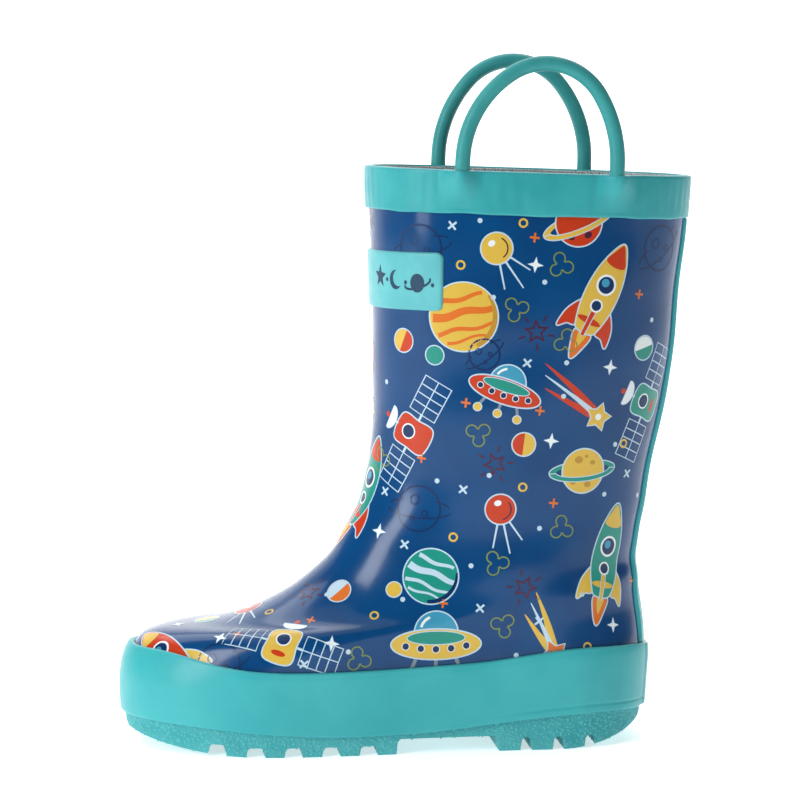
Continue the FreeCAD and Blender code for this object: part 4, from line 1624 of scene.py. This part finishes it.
class Footbed:
    """Foam footbed under a knit cover, slightly dished and crowned at its edge."""

    def __init__(self, surface: BodySurface, finish: bpy.types.Material) -> None:
        """Keeps the surface and the finish."""
        self.surface, self.finish = surface, finish

    def build(self) -> bpy.types.Object:
        """Builds the footbed.

        Returns:
            The piece.
        """
        s, columns = self.surface.sizes, 160
        turn = evenly(columns)
        inset = -s.upper_thickness - s.lining_thickness - s.footbed_clearance - 0.35
        foot = s.filler_thickness + s.board_thickness + 0.1
        top = 4.15  # height of the pad at its edge
        rings = []
        # Height of each ring of the edge and how far out it lies.
        for height, away in ((0.0, -0.6), (0.5, -0.1), (2.0, 0.0), (3.2, 0.0), (3.8, -0.35), (4.1, -1.1),
                             (top, -2.2)):
            level = self.surface.level_where(turn, self.surface.above_seat, foot + height)
            rings.append(self.surface.plain(turn, level) + self.surface.normal(turn, level) * (inset + away))
        rim = rings[-1]
        centre = np.stack([rim[:, 0] * 0.86 - 1.0, 0.22 * rim[:, 1], rim[:, 2]], axis=1)
        for share in (0.12, 0.28, 0.46, 0.64, 0.82, 0.999):
            ring = rim + (centre - rim) * share
            ring[:, 2] = self.surface.seat_z(ring[:, 0]) + foot + top - 0.9 * share + 0.5 * share**2
            rings.append(ring)
        points = np.stack(rings).reshape(-1, 3)
        faces = loop_faces(len(rings), columns, False, True)
        last = (len(rings) - 1) * columns
        for j in range(columns // 2):
            corners = list(dict.fromkeys([j, j + 1, (columns - j - 1) % columns, (columns - j) % columns]))
            faces.append(tuple(last + i for i in corners))
            faces.append(tuple(reversed(corners)))
        piece = mesh_object("footbed_pad", points, faces, self.finish)
        layer, corners = cloth_map(piece)
        layer.data.foreach_set("uv", (points[corners][:, [1, 0]] * MM).ravel())
        return piece


class Handle:
    """Round rubber cord, flattened where its ends are glued under the collar."""

    rise_height = {-1: 34.6, 1: 35.9}
    crown_shift = {-1: 1.5, 1: 0.0}

    def __init__(self, surface: BodySurface, side: int, finish: bpy.types.Material) -> None:
        """Keeps the surface, the side and the finish."""
        self.surface, self.side, self.finish = surface, side, finish

    def rim_point(self, along: float, out: float, up: float) -> np.ndarray:
        """Place measured along the rim from its front, sideways and up from the rim.

        Args:
            along: distance along the rim.
            out: distance sideways.
            up: distance above the rim.

        Returns:
            The place.
        """
        s = self.surface.sizes
        slope = math.hypot(s.rim_length, s.rim_drop)
        run = np.array([s.rim_length, 0, -s.rim_drop]) / slope
        rise = np.array([s.rim_drop, 0, s.rim_length]) / slope
        return np.array([s.rim_front_x, 0, s.rim_height]) + run * along + np.array([0, out, 0]) + rise * up

    def half_width(self, along: float) -> float:
        """Half-width of the leg at the rim.

        Args:
            along: distance along the rim from its front.

        Returns:
            The half-width.
        """
        s = self.surface.sizes
        length = math.hypot(s.rim_length, s.rim_drop)

        fore = end_rounding(along, RIM_NOSE, RIM_SQUARE)
        return float(s.rim_half_width * fore * end_rounding(length - along, RIM_TAIL, RIM_SQUARE))
    def line(self) -> tuple[np.ndarray, np.ndarray, np.ndarray]:
        """Centre line of the cord from one glued end to the other.

        Returns:
            The points, the half-width along the rim and the half-depth sideways at each.
        """
        s = self.surface.sizes
        stations = (s.handle_setback, s.handle_setback + s.handle_span)
        out = max(self.half_width(a) for a in stations) + s.handle_seat
        up = self.rise_height[self.side] - s.handle_crown_radius
        shift, radius = self.crown_shift[self.side], s.handle_crown_radius
        middle = (stations[0] + stations[1]) / 2 + shift

        def glued(along: float) -> list:
            """Flattened end, from the bottom up.

            Args:
                along: the end's distance along the rim.

            Returns:
                Rows of place, half-width and half-depth.
            """
            face = self.half_width(along)
            return [(self.rim_point(along, self.side * o, drop), w, d) for drop, w, d, o in (
                (-s.anchor_depth, 3.0, 0.2, face - 0.1), (-8.5, 3.4, 0.45, face + 0.3),
                (-6.5, 3.3, 0.8, face + 0.6), (-4.0, 3.1, 1.4, out - 1.0), (-2.0, 2.8, 2.0, out - 0.5),
                (0.0, 2.7, 2.65, out), (1.6, 2.65, 2.65, out))]

        def round_cord(along: float, lift: float) -> tuple:
            """Row of the plain cord above the bend."""
            return self.rim_point(along, self.side * out, s.bend_height + lift), s.cord_radius, s.cord_radius

        leg_steps, crown_steps = 16, 40
        arcs, sweeps = [], []
        for way, base in zip((1, -1), stations):
            across = s.handle_span / 2 + way * shift
            big = (across**2 + up**2 - radius**2) / (2 * (across - radius))
            sweeps.append(math.atan2(up, big - across))
            arcs.append([round_cord(base + way * (big - big * math.cos(angle)), big * math.sin(angle))
                         for angle in np.linspace(0, sweeps[-1], leg_steps)])
        crown = [round_cord(middle + radius * math.cos(angle), up + radius * math.sin(angle))
                 for angle in np.linspace(math.pi - sweeps[0], sweeps[1], crown_steps)[1:-1]]
        rows = glued(stations[0]) + arcs[0] + crown + arcs[1][::-1] + glued(stations[1])[::-1]
        points, wide, deep = zip(*rows)
        return np.array(points), np.array(wide), np.array(deep)

    def build(self) -> bpy.types.Object:
        """Builds the cord.

        Returns:
            The piece.
        """
        points, wide, deep = self.line()
        count = 28
        slope = np.gradient(points, axis=0)
        slope /= np.linalg.norm(slope, axis=1, keepdims=True)
        side = np.array([0.0, 1.0, 0.0])
        along = np.cross(side, slope)
        along /= np.linalg.norm(along, axis=1, keepdims=True)
        depth = np.cross(slope, along)
        angle = np.arange(count) / count * 2 * np.pi
        # A fine mould seam runs along the cord.
        seam = 1 + 0.018 * np.exp(-((np.minimum(angle, 2 * np.pi - angle) / 0.12) ** 2))
        rings = (points[:, None] + along[:, None] * (np.cos(angle) * seam)[None, :, None] * wide[:, None,
                                                                                                 None]
                 + depth[:, None] * np.sin(angle)[None, :, None] * deep[:, None, None])
        caps = [points[0] - slope[0] * 0.5, points[-1] + slope[-1] * 0.5]
        faces = loop_faces(len(points), count, False, True)
        total = len(points) * count
        for j in range(count):
            k = (j + 1) % count
            faces.append((k, j, total))
            faces.append((total - count + j, total - count + k, total + 1))
        name = "outer_pull" if self.side < 0 else "inner_pull"
        return mesh_object(name, np.concatenate([rings.reshape(-1, 3), caps]), faces, self.finish)


def scattered(name: str, source: bpy.types.Object, grain: bpy.types.Object, density: float, seed: int,
              material: bpy.types.Material, low: float, high: float, flat: float) -> bpy.types.Object:
    """Scatters small grains over part of a surface with geometry nodes and keeps them as one mesh.

    Args:
        name: the new piece's name.
        source: the surface.
        grain: the shape that repeats.
        density: grains in a square metre.
        seed: picks the pattern.
        material: the grains' finish.
        low: smallest size of a grain.
        high: largest size of a grain.
        flat: only faces whose normal rises less than this take grains.

    Returns:
        The grains as a plain mesh.
    """
    tree = bpy.data.node_groups.new(name + "_nodes", "GeometryNodeTree")
    sockets = {}
    for label, kind in (("Surface", "NodeSocketGeometry"), ("Grain", "NodeSocketObject"),
                        ("Density", "NodeSocketFloat"), ("Seed", "NodeSocketInt"),
                        ("Smallest", "NodeSocketFloat"),
                        ("Largest", "NodeSocketFloat"), ("Rise", "NodeSocketFloat"),
                        ("Finish", "NodeSocketMaterial")):
        sockets[label] = tree.interface.new_socket(name=label, in_out="INPUT", socket_type=kind)
    tree.interface.new_socket(name="Grains", in_out="OUTPUT", socket_type="NodeSocketGeometry")
    given = add_node(tree, "NodeGroupInput")
    normal = add_node(tree, "GeometryNodeInputNormal")
    split = add_node(tree, "ShaderNodeSeparateXYZ", {"Vector": (normal, "Normal")})
    rise = add_node(tree, "ShaderNodeMath", {0: (split, "Z")}, operation="ABSOLUTE")
    side = add_node(tree, "ShaderNodeMath", {0: (rise, "Value"), 1: (given, "Rise")}, operation="LESS_THAN")
    dots = add_node(tree, "GeometryNodeDistributePointsOnFaces", {
        "Mesh": (given, "Surface"), "Selection": (side, "Value"), "Density": (given, "Density"),
        "Seed": (given, "Seed")})
    shape = add_node(tree, "GeometryNodeObjectInfo", {"Object": (given, "Grain")})
    size = add_node(tree, "FunctionNodeRandomValue", {2: (given, "Smallest"), 3: (given, "Largest"),
                                                      "Seed": (given, "Seed")}, data_type="FLOAT")
    copies = add_node(tree, "GeometryNodeInstanceOnPoints", {
        "Points": (dots, "Points"), "Instance": (shape, "Geometry"), "Rotation": (dots, "Rotation"),
        "Scale": (size, 1)})
    real = add_node(tree, "GeometryNodeRealizeInstances", {"Geometry": (copies, "Instances")})
    dressed = add_node(tree, "GeometryNodeSetMaterial", {"Geometry": (real, "Geometry"),
                                                         "Material": (given, "Finish")})
    add_node(tree, "NodeGroupOutput", {"Grains": (dressed, "Geometry")})
    modifier = source.modifiers.new(name, "NODES")
    modifier.node_group = tree
    values = {"Grain": grain, "Density": density, "Seed": seed, "Smallest": low, "Largest": high,
              "Rise": flat,
              "Finish": material}
    for label, value in values.items():
        modifier[sockets[label].identifier] = value
    source.update_tag()
    bpy.context.view_layer.update()
    evaluated = source.evaluated_get(bpy.context.evaluated_depsgraph_get())
    mesh = bpy.data.meshes.new_from_object(evaluated)
    source.modifiers.remove(modifier)
    mesh.name = name
    piece = bpy.data.objects.new(name, mesh)
    bpy.context.scene.collection.objects.link(piece)
    log.info("%s: %d faces", name, len(mesh.polygons))
    return piece


# ------------------------------------------------------------------------------------------- the boot
class RainBoot:
    """The whole boot, dressed over its solid model."""

    def __init__(self) -> None:
        """Builds the finishes and the body surface."""
        self.sizes = BootSizes()
        self.surface = BodySurface(self.sizes)
        # Natural rubber, moulded or rolled and vulcanised. The upper's lies under a clear gloss coat and
        # mirrors the lights, the bands' has a satin face, and the sole's is matt as it leaves the mould.
        # After the colours: roughness, coat and its roughness, patch, grain and its height, swell and its
        # height (sizes in mm), highlight painted on convex edges, pebbles.
        rubbers = {
            "printed rubber": ("printed_rubber_blue", "#003E72", "#00477D", 0.19, 0.17, 0.10, 26.0, 0.8,
                               0.012,
                               19.0, 0.16, 0.10),
            "teal rubber": ("foxing_rubber_teal", "#34A7AD", "#3FAFB3", 0.36, 0.12, 0.22, 20.0, 0.9, 0.025,
                            13.0, 0.10, 0.30),
            "collar rubber": ("collar_rubber_teal", "#39A8AC", "#309FA5", 0.40, 0.10, 0.25, 12.0, 0.7, 0.028,
                              6.0, 0.16, 0.30),
            "cord rubber": ("cord_rubber_teal", "#3C9C9C", "#349293", 0.42, 0.08, 0.28, 9.0, 0.6, 0.020,
                            9.0, 0.05, 0.15),
            "label rubber": ("label_rubber_teal", "#62BCC2", "#58B2B8", 0.38, 0.10, 0.22, 10.0, 0.7, 0.020,
                             9.0, 0.08, 0.25),
            "sole rubber": ("outsole_rubber_teal", "#3AA4A9", "#33989F", 0.52, 0.04, 0.35, 16.0, 0.8, 0.050,
                            12.0, 0.10, 0.45, 1.3),
            "grain rubber": ("outsole_pebbles_teal", "#4CB4B4", "#3FA6A9", 0.40, 0.10, 0.25, 16.0, 0.8,
                             0.020,
                             12.0, 0.10, 0.30),
            "filler rubber": ("filler_rubber_black", "#26282B", "#303236", 0.70, 0.0),
            "label ink": ("label_ink_navy", "#173A55", "#1C4462", 0.45, 0.1),
            # Pressed wood fibre, dull and blotched.
            "fibreboard": ("pressed_fibreboard", "#B7986C", "#A28557", 0.9, 0.0, 0.3, 8.0, 1.2, 0.08),
        }
        # Cotton knit, laminated inside the upper and over the footbed, and rubberised canvas in the
        # stiffeners: yarn of uneven tone with a soft sheen at grazing angles.
        knits = {
            "heathered knit": ("heathered_grey_knit", "#AEB0B4", "#E2E3E4", "#54575D"),
            "canvas": ("rubberised_canvas", "#C8BFA9", "#DDD5C2", "#8E8672", 0.6, 0.6),
        }
        self.finishes = {key: RubberFinish(*row).build() for key, row in rubbers.items()}
        self.finishes |= {key: KnitFinish(*row).build() for key, row in knits.items()}
        # Printing ink on the upper, under the same gloss coat.
        self.inks = {ink: RubberFinish("ink_" + ink.name.lower(), ink.value, ink.value, 0.22, 0.17, 0.10,
                                       20.0, 0.8,
                                       0.012, 19.0, 0.16, 0.0).build() for ink in Ink if ink is not Ink.GROUND}

    def dress_nodes(self) -> None:
        """Gives the solid model's own pieces their finishes."""
        nodes = frame["nodes"]
        for node, finish in (("outsole", "sole rubber"), ("midsole_filler", "filler rubber"),
                             ("insole_board", "fibreboard"), ("toe_puff", "canvas"),
                             ("heel_counter", "canvas")):
            piece = nodes[node]
            piece.data.materials.clear()
            piece.data.materials.append(self.finishes[finish])

    def outsole_grain(self) -> bpy.types.Object:
        """Fine raised pebbles on the outsole's side.

        Returns:
            The piece.
        """
        bpy.ops.mesh.primitive_ico_sphere_add(subdivisions=1, radius=1.0)
        grain = bpy.context.object
        grain.scale = (1.0, 1.0, 0.45)
        bpy.ops.object.transform_apply(location=False, rotation=False, scale=True)
        piece = scattered("outsole_grain", frame["nodes"]["outsole"], grain, density=5.0e5, seed=7,
                          material=self.finishes["grain rubber"], low=0.00036, high=0.00056, flat=0.55)
        bpy.data.objects.remove(grain)
        return piece

    def build(self) -> None:
        """Builds every piece and hangs all but the handles on the boot's body."""
        shells = Shells(self.surface, self.finishes)
        self.dress_nodes()
        pieces = [
            (shells.upper(), "printed_rubber", ["upper_shell"]),
            (shells.lining(), "knit", ["lining"]),
            (shells.foxing(), "teal_rubber", ["foxing_band"]),
            (shells.collar(), "teal_rubber", ["collar_band"]),
            (shells.back_stay(), "teal_rubber", ["back_stay"]),
            (shells.label(), "teal_rubber", ["label_patch"]),
            (shells.label_shapes(), "teal_rubber", []),
            (Print(self.surface, self.inks).build(), "printed_rubber", []),
            (Footbed(self.surface, self.finishes["heathered knit"]).build(), "knit",
             ["footbed", "footbed_cloth"]),
            (self.outsole_grain(), "outsole_rubber", []),
        ]
        for piece, slot, nodes in pieces:
            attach(piece, "boot")
            if nodes:
                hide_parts(*nodes)
        for side, body, front, rear in ((-1, "outer_handle", "outer_handle_front_anchor",
                                         "outer_handle_rear_anchor"),
                                        (1, "inner_handle", "inner_handle_front_anchor",
                                         "inner_handle_rear_anchor")):
            handle = Handle(self.surface, side, self.finishes["cord rubber"])
            piece = handle.build()
            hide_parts(body, front, rear)
            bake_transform(piece)


class Studio:
    """White sweep, soft lights and the camera."""

    def sweep(self) -> None:
        """White floor that curves up behind the boot."""
        material, tree, shader = new_material("white_paper")  # matt seamless paper
        place = add_node(tree, "ShaderNodeTexCoord")
        fibre = add_node(tree, "ShaderNodeTexNoise",
                         {"Vector": (place, "Object"), "Scale": 900.0, "Detail": 3.0})
        bump = add_node(tree, "ShaderNodeBump",
                        {"Height": (fibre, "Fac"), "Distance": 0.00003, "Strength": 1.0})
        set_inputs(tree, shader, {"Normal": (bump, "Normal"), "Base Color": linear("#F7F7F7"),
                                  "Roughness": 0.85,
                                  "Emission Color": linear("#FFFFFF"), "Emission Strength": 0.55})
        near, far, bend, top = -650.0, 1600.0, 900.0, 4000.0
        half_width, columns = 3000, 9
        profile = [(near, 0.0), (far, 0.0)]
        profile += [(far + bend * math.sin(a), bend - bend * math.cos(a))
                    for a in np.linspace(0, math.pi / 2, 25)[1:]]
        profile.append((far + bend, top))
        rows = [[(x, y, z) for x in np.linspace(-half_width, half_width, columns)] for y, z in profile]
        paper = mesh_object("paper_sweep", np.array(rows), loop_faces(len(rows), columns, False, False),
                            material,
                            outwards=False)

    def area_light(self, name: str, place: tuple, aim: tuple, size: tuple, power: float) -> None:
        """Adds a soft box.

        Args:
            name: the light's name.
            place: where it stands, in metres.
            aim: where it points.
            size: its width and height.
            power: watts.
        """
        data = bpy.data.lights.new(name, "AREA")
        data.shape, data.size, data.size_y, data.energy = "RECTANGLE", size[0], size[1], power
        lamp = bpy.data.objects.new(name, data)
        lamp.location = place
        lamp.rotation_euler = (Vector(aim) - Vector(place)).to_track_quat("-Z", "Y").to_euler()
        bpy.context.scene.collection.objects.link(lamp)

    def build(self) -> None:
        """Builds the sweep, the lights and the camera."""
        self.sweep()
        self.area_light("key", (-1.45, -0.95, 0.80), (0, 0, 0.10), (0.5, 1.5), 24.0)
        self.area_light("fill", (1.5, -1.3, 0.75), (0, 0, 0.10), (0.7, 1.2), 1.5)
        self.area_light("top", (0.0, -0.1, 1.7), (0, 0, 0.1), (1.6, 1.2), 5.0)
        self.area_light("paper", (0.0, 1.2, 1.9), (0.0, 1.6, 0.0), (3.0, 1.5), 40.0)
        world = bpy.data.worlds.new("studio")
        bpy.context.scene.world = world
        world.use_nodes = True
        world.node_tree.nodes["Background"].inputs["Color"].default_value = linear("#FBFCFF")
        world.node_tree.nodes["Background"].inputs["Strength"].default_value = 0.15
        scene = bpy.context.scene
        scene.view_settings.view_transform = "Standard"
        data = bpy.data.cameras.new("camera")
        data.lens, data.sensor_width = 150.5, 36.0
        data.clip_start, data.clip_end = 0.05, 20.0
        camera = bpy.data.objects.new("camera", data)
        scene.collection.objects.link(camera)
        scene.camera = camera
        azimuth, elevation, away = math.radians(-6), math.radians(5.5), 1.2
        back = Vector((math.sin(azimuth) * math.cos(elevation), -math.cos(azimuth) * math.cos(elevation),
                       math.sin(elevation)))
        target = Vector((-0.002, 0.0, 0.122))
        camera.location = target + back * away
        camera.rotation_euler = (-back).to_track_quat("-Z", "Y").to_euler()


def main() -> None:
    """Builds the scene."""
    logging.basicConfig(level=logging.INFO, format="%(name)s: %(message)s")
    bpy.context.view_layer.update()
    RainBoot().build()
    Studio().build()


if __name__ == "__main__":
    main()
